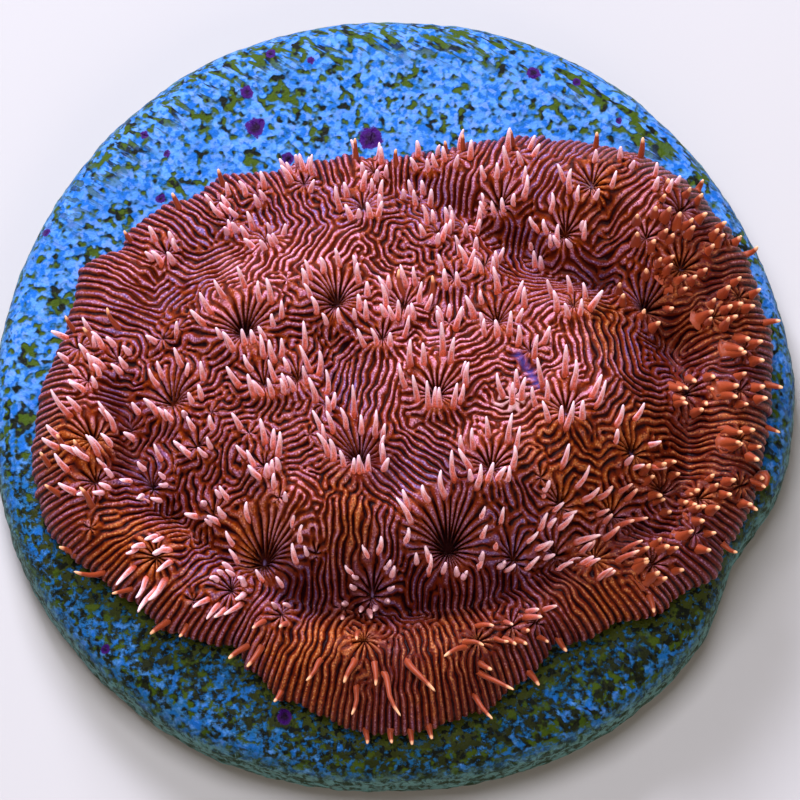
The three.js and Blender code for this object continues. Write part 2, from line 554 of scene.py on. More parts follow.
@dataclass
class PolypBed:
    """Every polyp placed on the colony, with the relief that its pit and crown add.

    Widths, edges and reaches are shares of the polyp's own crown radius, but the mouth's edge and the
    smallest sizes are in millimetres. A bend of the septa is its strength, waves and shift.
    """

    relief: Relief
    photo: PhotoFrame
    members: tuple[Polyp, ...] = DOME_POLYPS + UPPER_POLYPS + RIM_POLYPS
    crown_share: float = 0.92
    smallest_crown: float = 0.36
    long_side: float = 0.28
    septa_share: float = 0.84
    fewest_septa: int = 6
    septa_fullness: float = 1.7
    septa_bends: tuple[tuple[float, int, int], ...] = ((0.06, 3, 7), (0.04, 5, 3))
    short_septa: float = 0.75
    short_edge: Pair = (0.22, 0.5)
    relief_reach: float = 3.2
    pit_depth: float = 0.8
    pit_width: float = 0.5
    pit_fullness: Slope = Slope(0.45, 0.55)
    mound_rise: float = 0.34
    mound_width: float = 1.35
    crown_rise: float = 0.16
    crown_ring: float = 0.95
    crown_width: float = 0.4
    tint_reach: float = 1.4
    fan_edge: Pair = (0.5, 1.05)
    pit_shade: Slope = Slope(0.25, 0.7)
    pit_inner_edge: Slope = Slope(0.02, 0.12)
    pit_outer_edge: Slope = Slope(0.5, 0.14)
    smallest_mouth_owner: float = 0.8
    mouth_edge: Pair = (0.05, 0.1)
    mouth_reach: float = 0.4
    seed: int = 4
    x: Array = field(init=False)
    y: Array = field(init=False)
    radius: Array = field(init=False)
    septa: Array = field(init=False)
    phase: Array = field(init=False)
    facing: Array = field(init=False)

    def place(self, pitch: float) -> None:
        """Sets each polyp's place, crown radius and septa.

        Args:
            pitch: Distance from ridge to ridge, in millimetres.
        """
        columns = [item.column for item in self.members]
        rows = [item.row for item in self.members]
        self.x, self.y = self.photo.plan(columns, rows, self.relief.smooth_height)
        right, down = lean_at(np.array(columns), np.array(rows))
        self.facing = np.arctan2(-down, right)
        crowns = np.array([item.crown for item in self.members]) / self.photo.pixels_per_mm
        self.radius = np.maximum(crowns * self.crown_share, self.smallest_crown)
        pairs = np.rint(np.pi * self.radius * self.septa_share / pitch)
        self.septa = 2 * np.maximum(pairs, self.fewest_septa / 2).astype(int)
        self.phase = np.random.default_rng(self.seed).uniform(0, 2 * np.pi, len(self.members))

    def around(self, index: int, x: Array, y: Array) -> tuple[Array, Array]:
        """Polar place about one polyp, which is longer on the side its tentacles lean to.

        Args:
            index: Which polyp.
            x: Places along X.
            y: Places along Y.

        Returns:
            Distance as a share of the crown's radius, and angle in radians.
        """
        turn = np.arctan2(y - self.y[index], x - self.x[index])
        crown = self.radius[index] * (1 + self.long_side * np.cos(turn - self.facing[index]))
        return np.hypot(x - self.x[index], y - self.y[index]) / crown, turn

    def fan(self, index: int, share: Array, turn: Array) -> Array:
        """Ridges of one polyp's fan; every second one stops short of the pit.

        Args:
            index: Which polyp.
            share: Distance as a share of the crown's radius.
            turn: Angle about the polyp in radians.

        Returns:
            Ridge field, -1 in a groove to 1 on a ridge.
        """
        phase = self.phase[index]
        bent = turn
        for strength, waves, shift in self.septa_bends:
            bent = bent + strength * np.sin(waves * turn + shift * phase)
        wave = self.septa[index] * bent + phase
        short = (1 - smoothstep(share, *self.short_edge)) * self.short_septa * (1 - np.cos(wave / 2))
        wide = 1 - 2 * ((1 - np.cos(wave)) / 2) ** self.septa_fullness
        return np.maximum(wide - short, -1)

    def near(self, index: int, x: Array, y: Array, reach: float) -> tuple[Array, ...]:
        """Picks the places close to one polyp.

        Args:
            index: Which polyp.
            x: Places along X.
            y: Places along Y.
            reach: How far to look, as a share of the crown's radius.

        Returns:
            Indices of the close places.
        """
        limit = reach * self.radius[index]
        return np.nonzero((np.abs(x - self.x[index]) < limit) & (np.abs(y - self.y[index]) < limit))

    def height(self, x: Array, y: Array) -> Array:
        """Height that pits and crowns add.

        Args:
            x: Places along X.
            y: Places along Y.

        Returns:
            Height in millimetres.
        """
        total = np.zeros(np.shape(x))
        for index, item in enumerate(self.members):
            here = self.near(index, x, y, self.relief_reach)
            share, _ = self.around(index, x[here], y[here])
            radius = self.radius[index]
            deep = self.pit_depth * radius * self.pit_fullness.at(item.pit)
            mound = self.mound_rise * radius * np.exp(-((share / self.mound_width) ** 2))
            crown = self.crown_rise * radius * np.exp(-(((share - self.crown_ring) / self.crown_width) ** 2))
            total[here] += mound + crown - deep * np.exp(-((share / self.pit_width) ** 2))
        return total

    def mouths(self, x: Array, y: Array) -> Array:
        """How much each place belongs to a small pale mouth, shown in every second large pit.

        Args:
            x: Places along X.
            y: Places along Y.

        Returns:
            Share, 0 to 1.
        """
        mouth = np.zeros(np.shape(x))
        for index in np.nonzero(self.radius > self.smallest_mouth_owner)[0][::2]:
            here = self.near(index, x, y, self.mouth_reach)
            share, _ = self.around(index, x[here], y[here])
            mouth[here] = 1 - smoothstep(share * self.radius[index], *self.mouth_edge)
        return mouth

    def shares(self, x: Array, y: Array) -> tuple[Array, Array]:
        """How much each place belongs to a polyp's fan, and how much painted shadow its pit gets.

        Args:
            x: Places along X.
            y: Places along Y.

        Returns:
            Fan share and painted pit shadow, 0 to 1.
        """
        fan = np.zeros(np.shape(x))
        pit = np.zeros(np.shape(x))
        for index, item in enumerate(self.members):
            here = self.near(index, x, y, self.tint_reach)
            share, _ = self.around(index, x[here], y[here])
            fan[here] = np.maximum(fan[here], 1 - smoothstep(share, *self.fan_edge))
            edge = (self.pit_inner_edge.at(item.pit), self.pit_outer_edge.at(item.pit))
            pit[here] = np.maximum(pit[here], self.pit_shade.at(item.pit) * (1 - smoothstep(share, *edge)))
        return fan, pit


@dataclass(frozen=True)
class Combed:
    """A stretch where the ridges run side by side: its pixel, radius in pixels and heading in degrees."""

    column: float
    row: float
    radius: float
    heading: float


@dataclass
class RidgePattern:
    """The winding ridges, grown by a stripe-forming equation held to fans at polyps and at the margin.

    Lengths are in millimetres. A fan's edges and reach are shares of its polyp's crown radius.
    """

    relief: Relief
    bed: PolypBed
    pitch: float = 0.288
    side: float = 36.0
    middle_y: float = -1.0
    cells: int = 800
    steps: int = 60
    pace: float = 0.8
    drive: float = 0.3
    start_noise: float = 0.3
    strongest_decay: float = 30.0
    crest_gain: float = 1.35
    seed: int = 4
    held: float = 0.15
    hold_share: float = 0.5
    most_weight: float = 3.0
    least_weight: float = 1e-9
    margin_inset: float = 0.6
    margin_pitch: float = 0.295
    margin_points: int = 2881
    margin_stray: tuple[Grain, ...] = (Grain(1.3, 43, 1.8), Grain(0.6, 44, 1.1))
    margin_depth: float = 1.5
    margin_full: float = 0.2
    margin_weight: float = 1.6
    skirt_depth: float = 3.6
    skirt_fade: float = 0.3
    fan_weight: float = 2.5
    fan_edge: Pair = (0.7, 1.2)
    fan_reach: float = 1.3
    sharp_edge: Pair = (0.55, 0.9)
    sharp_start: Pair = (0.05, 0.3)
    inland_edge: Pair = (0.3, 1.5)
    wander: float = 0.125
    wander_grain: tuple[Grain, Grain] = (Grain(0.46, 31), Grain(0.46, 32))
    uneven: Grain = Grain(0.33, 33, 0.35)
    combed_edge: Pair = (0.7, 1.3)
    combed: tuple[Combed, ...] = (
        Combed(362, 395, 30, 75), Combed(415, 478, 38, -38), Combed(365, 545, 36, 85),
        Combed(470, 595, 34, 95), Combed(590, 612, 40, 100), Combed(560, 300, 26, 20),
        Combed(470, 352, 22, 30), Combed(320, 250, 26, 60), Combed(150, 275, 36, 40),
        Combed(210, 255, 30, 20), Combed(600, 345, 24, 100), Combed(300, 590, 30, 90),
    )
    field_values: Array = field(init=False)

    def grow(self) -> None:
        """Runs the equation and keeps the ridge field, -1 in a groove to 1 on a ridge."""
        axis = (np.arange(self.cells) + 0.5) * self.side / self.cells - self.side / 2
        x, y = np.meshgrid(axis, axis + self.middle_y)
        strength = math.sqrt(4 * self.drive / 3)
        target, hold = self.targets(x, y)
        target *= strength
        values = np.where(hold > self.held, target, self.first_guess(x, y, strength))
        rows = np.fft.fftfreq(self.cells, self.side / self.cells) * self.pitch
        columns = np.fft.rfftfreq(self.cells, self.side / self.cells) * self.pitch
        wave = columns[None, :] ** 2 + rows[:, None] ** 2
        growth = np.exp(self.pace * np.maximum(self.drive - (1 - wave) ** 2, -self.strongest_decay))
        for _ in range(self.steps):
            values = (values + self.pace * hold * target) / (1 + self.pace * hold)
            values /= np.sqrt(1 + 2 * self.pace * values * values)
            values = np.fft.irfft2(np.fft.rfft2(values) * growth, s=values.shape)
        self.field_values = np.clip(values / (strength * self.crest_gain), -1, 1)

    def first_guess(self, x: Array, y: Array, strength: float) -> Array:
        """Noise with combed stretches and a striped margin, from which the ridges grow.

        Args:
            x: Places along X.
            y: Places along Y.
            strength: Height of the stripes.

        Returns:
            Ridge field at the start.
        """
        values = np.random.default_rng(self.seed).normal(0, self.start_noise, x.shape)
        photo = self.bed.photo
        for stretch in self.combed:
            px, py = photo.plan([stretch.column], [stretch.row], self.relief.smooth_height)
            c, s = math.cos(math.radians(stretch.heading)), math.sin(math.radians(stretch.heading))
            reach = np.hypot(x - px, y - py) * photo.pixels_per_mm / stretch.radius
            share = 1 - smoothstep(reach, *self.combed_edge)
            stripes = strength * np.cos(2 * np.pi * ((y - py) * c - (x - px) * s) / self.pitch)
            values = values * (1 - share) + stripes * share
        reach, angle = self.relief.polar(x, y)
        past = reach - self.relief.outline(angle)
        skirt = smoothstep(past, -self.skirt_depth, self.skirt_fade - self.skirt_depth)
        return values * (1 - skirt) + strength * self.margin_stripes(x, y) * skirt

    def targets(self, x: Array, y: Array) -> tuple[Array, Array]:
        """Where ridges must run, and how firmly.

        Args:
            x: Places along X.
            y: Places along Y.

        Returns:
            Wanted ridge field, -1 to 1, and the hold on it.
        """
        reach, angle = self.relief.polar(x, y)
        target = self.margin_stripes(x, y)
        inset = self.relief.outline(angle) - reach
        margin = self.margin_weight * smoothstep(-inset, -self.margin_depth, -self.margin_full)
        total = margin * target
        weight = margin + self.least_weight
        for index in range(len(self.bed.members)):
            here = self.bed.near(index, x, y, self.fan_reach)
            share, turn = self.bed.around(index, x[here], y[here])
            fan = self.fan_weight * (1 - smoothstep(share, *self.fan_edge))
            total[here] += fan * self.bed.fan(index, share, turn)
            weight[here] += fan
        return total / weight, np.minimum(weight, self.most_weight) * self.hold_share

    def margin_stripes(self, x: Array, y: Array) -> Array:
        """Ridges that run square to the margin, at unequal distances.

        Args:
            x: Places along X.
            y: Places along Y.

        Returns:
            Ridge field, -1 in a groove to 1 on a ridge.
        """
        turns = np.linspace(-np.pi, np.pi, self.margin_points)
        radius = ring_radius(self.relief.radii, turns) - self.margin_inset
        steps = np.hypot(np.diff(radius * np.cos(turns)), np.diff(radius * np.sin(turns)))
        arc = np.concatenate([[0.0], np.cumsum(steps)])
        ridges = round(arc[-1] / self.margin_pitch)
        px, py = radius * np.cos(turns), radius * np.sin(turns)
        phase = arc * ridges / arc[-1] * 2 * np.pi + grains(self.margin_stray, px, py)
        return np.cos(np.interp(self.relief.polar(x, y)[1], turns, phase))

    def at(self, x: Array, y: Array) -> Array:
        """Reads the ridge field, with each fan drawn sharp down into its pit.

        Args:
            x: Places along X.
            y: Places along Y.

        Returns:
            Ridge field, -1 in a groove to 1 on a ridge.
        """
        reach, angle = self.relief.polar(x, y)
        inland = smoothstep(self.relief.outline(angle) - reach, *self.inland_edge)
        wandered = [self.wander * inland * layer.at(x, y) for layer in self.wander_grain]
        values = self.sampled(x + wandered[0], y + wandered[1])
        values = values + self.uneven.at(x, y) * inland * (1 - values * values)
        for index in range(len(self.bed.members)):
            here = self.bed.near(index, x, y, 1.0)
            share, turn = self.bed.around(index, x[here], y[here])
            fan = self.bed.fan(index, share, turn)
            blend = 1 - smoothstep(share, *self.sharp_edge)
            values[here] = values[here] * (1 - blend) + fan * blend * smoothstep(share, *self.sharp_start)
        return values

    def sampled(self, x: Array, y: Array) -> Array:
        """Reads the grown field between the middles of its cells.

        Args:
            x: Places along X.
            y: Places along Y.

        Returns:
            Ridge field, -1 in a groove to 1 on a ridge.
        """
        last = self.cells - 1.001
        u = np.clip((x + self.side / 2) / self.side * self.cells - 0.5, 0, last)
        v = np.clip((y - self.middle_y + self.side / 2) / self.side * self.cells - 0.5, 0, last)
        i, j = u.astype(int), v.astype(int)
        s, t = u - i, v - j
        grid = self.field_values
        low = grid[j, i] * (1 - s) + grid[j, i + 1] * s
        high = grid[j + 1, i] * (1 - s) + grid[j + 1, i + 1] * s
        return low * (1 - t) + high * t


def deselect() -> None:
    """Leaves object mode with nothing selected."""
    if bpy.context.object and bpy.context.object.mode != "OBJECT":
        bpy.ops.object.mode_set(mode="OBJECT")
    bpy.ops.object.select_all(action="DESELECT")


def pick(piece: bpy.types.Object) -> None:
    """Makes a piece the selected and active one.

    Args:
        piece: The piece.
    """
    deselect()
    piece.select_set(True)
    bpy.context.view_layer.objects.active = piece


def points_of(mesh: bpy.types.Mesh) -> Array:
    """Reads a mesh's vertices.

    Args:
        mesh: The mesh.

    Returns:
        Its vertices in metres, one row each.
    """
    values = np.empty(len(mesh.vertices) * 3, np.float32)
    mesh.vertices.foreach_get("co", values)
    return values.reshape(-1, 3).astype(float)


def move_points(mesh: bpy.types.Mesh, points: Array) -> None:
    """Moves a mesh's vertices.

    Args:
        mesh: The mesh.
        points: New places in metres, one row each.
    """
    mesh.vertices.foreach_set("co", points.astype(np.float32).ravel())
    mesh.update()


def set_attribute(mesh: bpy.types.Mesh, name: str, values: Array) -> None:
    """Stores one number per vertex for a material to read.

    Args:
        mesh: The mesh.
        name: The attribute's name.
        values: One value per vertex.
    """
    layer = mesh.attributes.get(name) or mesh.attributes.new(name, "FLOAT", "POINT")
    layer.data.foreach_set("value", values.astype(np.float32))


@dataclass
class RoundSheet:
    """A square grid pressed into a round, so that its cells are all of one size."""

    name: str
    cells: int

    def build(self) -> tuple[bpy.types.Object, Array, Array]:
        """Adds the grid.

        Returns:
            The object, and each vertex's share of the radius and its angle.
        """
        deselect()
        bpy.ops.mesh.primitive_grid_add(x_subdivisions=self.cells, y_subdivisions=self.cells, size=2)
        sheet = bpy.context.object
        sheet.name = self.name
        sheet.data.name = self.name
        square = points_of(sheet.data)[:, :2]
        a, b = square[:, 0], square[:, 1]
        wide = np.abs(a) > np.abs(b)
        safe_a = np.where(a == 0, 1, a)
        safe_b = np.where(b == 0, 1, b)
        reach = np.where(wide, a, b)
        angle = np.where(wide, np.pi / 4 * b / safe_a, np.pi / 2 - np.pi / 4 * a / safe_b)
        angle = np.where(reach < 0, angle + np.pi, angle)
        return sheet, np.abs(reach), angle

    @staticmethod
    def close(sheet: bpy.types.Object, inward: float, level: float, middle: Pair) -> None:
        """Turns the open edge under and fills it.

        Args:
            sheet: The sheet.
            inward: Scale of the turned-under edge about the middle.
            level: Height of the closing face in metres.
            middle: Plan place that the edge shrinks to, in metres.
        """
        bpy.ops.object.mode_set(mode="EDIT")
        bpy.ops.mesh.select_mode(type="EDGE")
        bpy.ops.mesh.select_all(action="DESELECT")
        bpy.ops.mesh.select_non_manifold(extend=False)
        bpy.ops.mesh.extrude_region_move()
        pivot = (middle[0], middle[1], level)
        bpy.ops.transform.resize(value=(inward, inward, 0.0), center_override=pivot)
        bpy.ops.mesh.edge_face_add()
        bpy.ops.mesh.select_all(action="SELECT")
        bpy.ops.mesh.normals_make_consistent(inside=False)
        bpy.ops.object.mode_set(mode="OBJECT")


class Nodes:
    """Short hand for laying out a material's nodes."""

    MIX_COLOURS = (6, 7)
    MIX_RESULT = 2

    def __init__(self, name: str) -> None:
        """Starts a material with a bare shader.

        Args:
            name: The material's name.
        """
        self.material = bpy.data.materials.new(name)
        self.material.use_nodes = True
        self.tree = self.material.node_tree
        self.shader = self.tree.nodes["Principled BSDF"]
        self.place = self.tree.nodes.new("ShaderNodeTexCoord").outputs["Object"]

    def link(self, value: object, socket: bpy.types.NodeSocket) -> None:
        """Feeds a socket with an output or a plain value.

        Args:
            value: An output socket, number or colour.
            socket: The input to feed.
        """
        if isinstance(value, bpy.types.NodeSocket):
            self.tree.links.new(value, socket)
        elif isinstance(value, tuple):
            socket.default_value = (*value, 1.0)[: len(socket.default_value)]
        else:
            socket.default_value = value

    def attribute(self, name: str) -> bpy.types.NodeSocket:
        """Reads a vertex attribute.

        Args:
            name: The attribute's name.

        Returns:
            Its value.
        """
        node = self.tree.nodes.new("ShaderNodeAttribute")
        node.attribute_name = name
        return node.outputs["Fac"]

    def math(self, operation: str, *values: object) -> bpy.types.NodeSocket:
        """Adds a math step.

        Args:
            operation: The step, such as MULTIPLY.
            values: Its inputs in order.

        Returns:
            The result.
        """
        node = self.tree.nodes.new("ShaderNodeMath")
        node.operation = operation
        for socket, value in zip(node.inputs, values):
            self.link(value, socket)
        return node.outputs[0]

    def product(self, *values: object) -> bpy.types.NodeSocket:
        """Multiplies any number of values.

        Args:
            values: Outputs or numbers.

        Returns:
            The product.
        """
        total = values[0]
        for value in values[1:]:
            total = self.math("MULTIPLY", total, value)
        return total

    def rise(self, value: object, low: float, high: float) -> bpy.types.NodeSocket:
        """Eases a value from 0 to 1 between two limits.

        Args:
            value: The input.
            low: Where the rise starts.
            high: Where the rise ends.

        Returns:
            The eased value.
        """
        node = self.tree.nodes.new("ShaderNodeMapRange")
        node.interpolation_type = "SMOOTHSTEP"
        falling = low > high
        self.link(value, node.inputs["Value"])
        node.inputs["From Min"].default_value = min(low, high)
        node.inputs["From Max"].default_value = max(low, high)
        node.inputs["To Min"].default_value = 1.0 if falling else 0.0
        node.inputs["To Max"].default_value = 0.0 if falling else 1.0
        return node.outputs["Result"]

    def mix(self, share: object, first: object, second: object) -> bpy.types.NodeSocket:
        """Mixes two colours.

        Args:
            share: How much of the second shows.
            first: First colour.
            second: Second colour.

        Returns:
            The mixed colour.
        """
        node = self.tree.nodes.new("ShaderNodeMix")
        node.data_type = "RGBA"
        self.link(share, node.inputs["Factor"])
        for index, colour in zip(self.MIX_COLOURS, (first, second)):
            self.link(colour, node.inputs[index])
        return node.outputs[self.MIX_RESULT]

    def noise(
        self, size_mm: float, detail: float = 2.0, roughness: float = 0.5, warp: float = 0.0,
        brush: Pair | None = None,
    ) -> bpy.types.NodeSocket:
        """Adds noise over the object's own place.

        Args:
            size_mm: Size of its blotches in millimetres.
            detail: Octaves.
            roughness: Strength of the finer octaves.
            warp: Distortion.
            brush: Heading in radians and stretch of its streaks, or nothing for round blotches.

        Returns:
            Noise, 0 to 1.
        """
        node = self.tree.nodes.new("ShaderNodeTexNoise")
        place = self.place
        if brush:
            turned = self.tree.nodes.new("ShaderNodeMapping")
            turned.vector_type = "TEXTURE"
            self.link(self.place, turned.inputs["Vector"])
            turned.inputs["Rotation"].default_value = (0.0, 0.0, brush[0])
            turned.inputs["Scale"].default_value = (brush[1], 1.0, 1.0)
            place = turned.outputs["Vector"]
        self.link(place, node.inputs["Vector"])
        node.inputs["Scale"].default_value = 1 / (size_mm * MM)
        node.inputs["Detail"].default_value = detail
        node.inputs["Roughness"].default_value = roughness
        node.inputs["Distortion"].default_value = warp
        return node.outputs["Fac"]

    def cells(self, size_mm: float) -> bpy.types.NodeSocket:
        """Adds scattered cells over the object's own place.

        Args:
            size_mm: Distance from cell to cell in millimetres.

        Returns:
            Distance from the middle of the nearest cell, 0 to about 1.
        """
        node = self.tree.nodes.new("ShaderNodeTexVoronoi")
        self.link(self.place, node.inputs["Vector"])
        node.inputs["Scale"].default_value = 1 / (size_mm * MM)
        return node.outputs["Distance"]

    def ramp(self, value: object, *stops: tuple[float, Colour]) -> bpy.types.NodeSocket:
        """Maps a value to colours.

        Args:
            value: The input.
            stops: Positions with their colours.

        Returns:
            The colour.
        """
        node = self.tree.nodes.new("ShaderNodeValToRGB")
        band = node.color_ramp
        for index, (position, colour) in enumerate(stops):
            stop = band.elements[index] if index < 2 else band.elements.new(position)
            stop.position = position
            stop.color = (*colour, 1.0)
        self.link(value, node.inputs["Fac"])
        return node.outputs["Color"]

    def bump(self, height: object, depth_mm: float, strength: float) -> bpy.types.NodeSocket:
        """Adds fine relief to the shading.

        Args:
            height: Height, 0 to 1.
            depth_mm: Real depth in millimetres.
            strength: Strength, 0 to 1.

        Returns:
            The bent normal.
        """
        node = self.tree.nodes.new("ShaderNodeBump")
        node.inputs["Distance"].default_value = depth_mm * MM
        node.inputs["Strength"].default_value = strength
        self.link(height, node.inputs["Height"])
        return node.outputs["Normal"]

    def finish(
        self, colour: object, roughness: object, normal: object, **plain: object,
    ) -> bpy.types.Material:
        """Wires the shader.

        Args:
            colour: Base colour.
            roughness: Roughness.
            normal: Bent normal.
            plain: Values set on the shader's own sockets.

        Returns:
            The material.
        """
        self.link(colour, self.shader.inputs["Base Color"])
        self.link(roughness, self.shader.inputs["Roughness"])
        self.link(normal, self.shader.inputs["Normal"])
        for name, value in plain.items():
            socket = name.replace("_", " ").title().replace("Ior", "IOR")
            self.shader.inputs[socket].default_value = value
        return self.material


@dataclass(frozen=True)
class CrustFinish:
    """Living skin over the ridges: maroon grooves, orange-brown flanks and stippled rose to lilac crests,
    with painted shade in listed patches, painted shadow in the pits and a lilac tint partly painted as shade
    in the valleys.
    """

    groove: Colour = srgb(24, 1, 7)
    flank: Colour = srgb(92, 26, 2)
    russet: Colour = srgb(130, 40, 10)
    amber: Colour = srgb(150, 64, 0)
    crest: Colour = srgb(158, 104, 138)
    amber_crest: Colour = srgb(190, 108, 58)
    rose_crest: Colour = srgb(226, 150, 178)
    # Partly painted shade: cool crest colour for the lilac patches in valleys and folds, partly the coral's
    # own lilac.
    lilac_crest: Colour = srgb(120, 102, 164)
    shadow: Colour = srgb(46, 12, 32)
    grain_dark: Colour = srgb(60, 10, 22)
    grain_light: Colour = srgb(246, 186, 214)
    grain_gold: Colour = srgb(252, 176, 112)
    fan: Colour = srgb(140, 60, 2)
    # Painted shadow colour of the pits.
    pit: Colour = srgb(18, 1, 5)
    mouth: Colour = srgb(131, 112, 166)
    star: Colour = srgb(222, 180, 180)
    bare: Colour = srgb(72, 62, 138)

    def material(self) -> bpy.types.Material:
        """Builds the material.

        Returns:
            The material.
        """
        n = Nodes("coral_skin")
        ridge = n.math("ADD", n.attribute("ridge"), n.math("MULTIPLY_ADD", n.noise(0.16, 3.0), 0.6, -0.3))
        stipple = n.noise(0.085, 3.0, 0.8)
        patchy = n.math("MULTIPLY_ADD", n.noise(0.5, 3.0), 1.2, -0.6)
        amber = n.rise(n.math("ADD", n.attribute("amber"), patchy), 0.2, 0.75)
        rose = n.rise(n.math("ADD", n.attribute("rose"), patchy), 0.2, 0.8)
        # Partly painted shade: the lilac patches lie in valleys, folds and the shaded front band, where their
        # cool crests stand in for the blue of shade; partly the coral's own lilac.
        lilac = n.rise(n.math("ADD", n.attribute("lilac"), patchy), 0.2, 0.85)
        golden = n.rise(n.noise(0.32, 3.0, 0.6), 0.44, 0.56)
        body = n.mix(golden, self.russet, self.amber)
        top = n.mix(rose, n.mix(amber, self.crest, self.amber_crest), self.rose_crest)
        top = n.mix(lilac, top, self.lilac_crest)
        crown = n.product(n.rise(ridge, 0.2, 0.75), n.math("MULTIPLY_ADD", golden, -0.35, 0.95))
        skin = n.mix(crown, body, top)
        dots = n.product(n.rise(n.cells(0.1), 0.46, 0.22), n.rise(ridge, 0.0, 0.6), 0.45)
        skin = n.mix(dots, skin, n.mix(amber, self.grain_light, self.grain_gold))
        skin = n.mix(n.product(n.rise(stipple, 0.49, 0.41), 0.8), skin, self.grain_dark)
        skin = n.mix(n.product(n.attribute("fan"), n.rise(ridge, 1.1, 0.2), 0.9), skin, self.fan)
        skin = n.mix(n.attribute("star"), skin, self.star)
        # Painted shade: in the listed shade patches the skin is darkened towards the shadow colour, less on
        # the ridge tops.
        shade = n.product(n.attribute("painted_shade"), n.math("MULTIPLY_ADD", n.rise(ridge, 0.9, 0.1), 0.45, 0.4))
        skin = n.mix(shade, skin, self.shadow)
        groove = n.mix(n.product(rose, 0.45), self.groove, self.flank)
        flank = n.mix(n.rise(ridge, -0.65, -0.15), groove, self.flank)
        colour = n.mix(n.rise(ridge, -0.2, 0.35), flank, skin)
        colour = n.mix(n.attribute("bare"), colour, self.bare)
        # Painted shadow: the pits are darkened near black where the cups lie in shade.
        colour = n.mix(n.attribute("pit"), colour, self.pit)
        colour = n.mix(n.attribute("mouth"), colour, self.mouth)
        height = n.math("MULTIPLY_ADD", n.rise(ridge, -0.95, 0.0), 1.0, n.product(stipple, 0.5))
        normal = n.bump(height, 0.05, 0.7)
        return n.finish(colour, n.rise(stipple, 1.1, -0.3), normal, specular_ior_level=0.08)


@dataclass(frozen=True)
class TentacleFinish:
    """Fingers, salmon at the root and pale pink at the tip, some with a dark slit, with painted rim
    highlights on the sides seen edge-on.

    The rusty ones end in amber.
    """

    root: Colour = srgb(134, 46, 18)
    shaft: Colour = srgb(216, 88, 56)
    upper: Colour = srgb(250, 128, 112)
    tip: Colour = srgb(255, 222, 232)
    # Painted rim highlight: pale colour for the sides of the fingers seen edge-on.
    edge: Colour = srgb(255, 204, 220)
    rust: Colour = srgb(146, 60, 28)
    ember: Colour = srgb(255, 196, 140)
    shade: Colour = srgb(180, 96, 140)
    slit: Colour = srgb(60, 6, 16)

    def material(self) -> bpy.types.Material:
        """Builds the material.

        Returns:
            The material.
        """
        n = Nodes("tentacle_skin")
        along, tint = n.attribute("along"), n.attribute("tint")
        front, ruddy = n.attribute("front"), n.attribute("ruddy")
        stipple = n.noise(0.06, 3.0, 0.7)
        place = n.math("MULTIPLY_ADD", n.noise(0.2, 2.0), 0.3, n.math("SUBTRACT", along, 0.15))
        late = n.math("MULTIPLY_ADD", ruddy, -0.38, place)
        colour = n.ramp(late, (0.04, self.root), (0.86, self.tip), (0.2, self.shaft), (0.5, self.upper))
        colour = n.mix(n.product(n.rise(tint, 0.5, 1.0), n.rise(front, 0.5, -0.6), 0.5), colour, self.shade)
        specks = n.product(n.rise(stipple, 0.5, 0.4), n.rise(along, 0.95, 0.5), 0.6)
        colour = n.mix(specks, colour, self.shaft)
        colour = n.mix(n.product(ruddy, n.rise(along, 1.0, 0.8), 1.05), colour, self.rust)
        freckles = n.product(n.rise(n.cells(0.08), 0.3, 0.6), n.rise(along, 0.9, 0.5), 0.55)
        colour = n.mix(freckles, colour, self.rust)
        colour = n.mix(n.product(ruddy, n.rise(along, 0.8, 0.95), 0.9), colour, self.ember)
        # Painted rim highlight: the sides of each finger that the camera sees edge-on are painted pale,
        # except on rusty fingers.
        side = n.rise(n.math("ABSOLUTE", front), 0.8, 0.3)
        clear = n.math("SUBTRACT", 1.0, n.rise(ruddy, 0.1, 0.8))
        colour = n.mix(n.product(side, n.rise(along, 0.2, 0.45), clear, 0.85), colour, self.edge)
        near = n.math("ABSOLUTE", n.math("SUBTRACT", along, 0.4))
        slit = n.product(n.rise(near, 0.08, 0.03), n.rise(front, 0.8, 0.93), n.rise(tint, 0.42, 0.38))
        colour = n.mix(slit, colour, self.slit)
        sheen = {"sheen_weight": 0.16, "sheen_roughness": 0.35, "sheen_tint": (1.0, 0.75, 0.85, 1.0)}
        return n.finish(colour, 0.45, n.bump(stipple, 0.02, 0.5), specular_ior_level=0.3, **sheen)


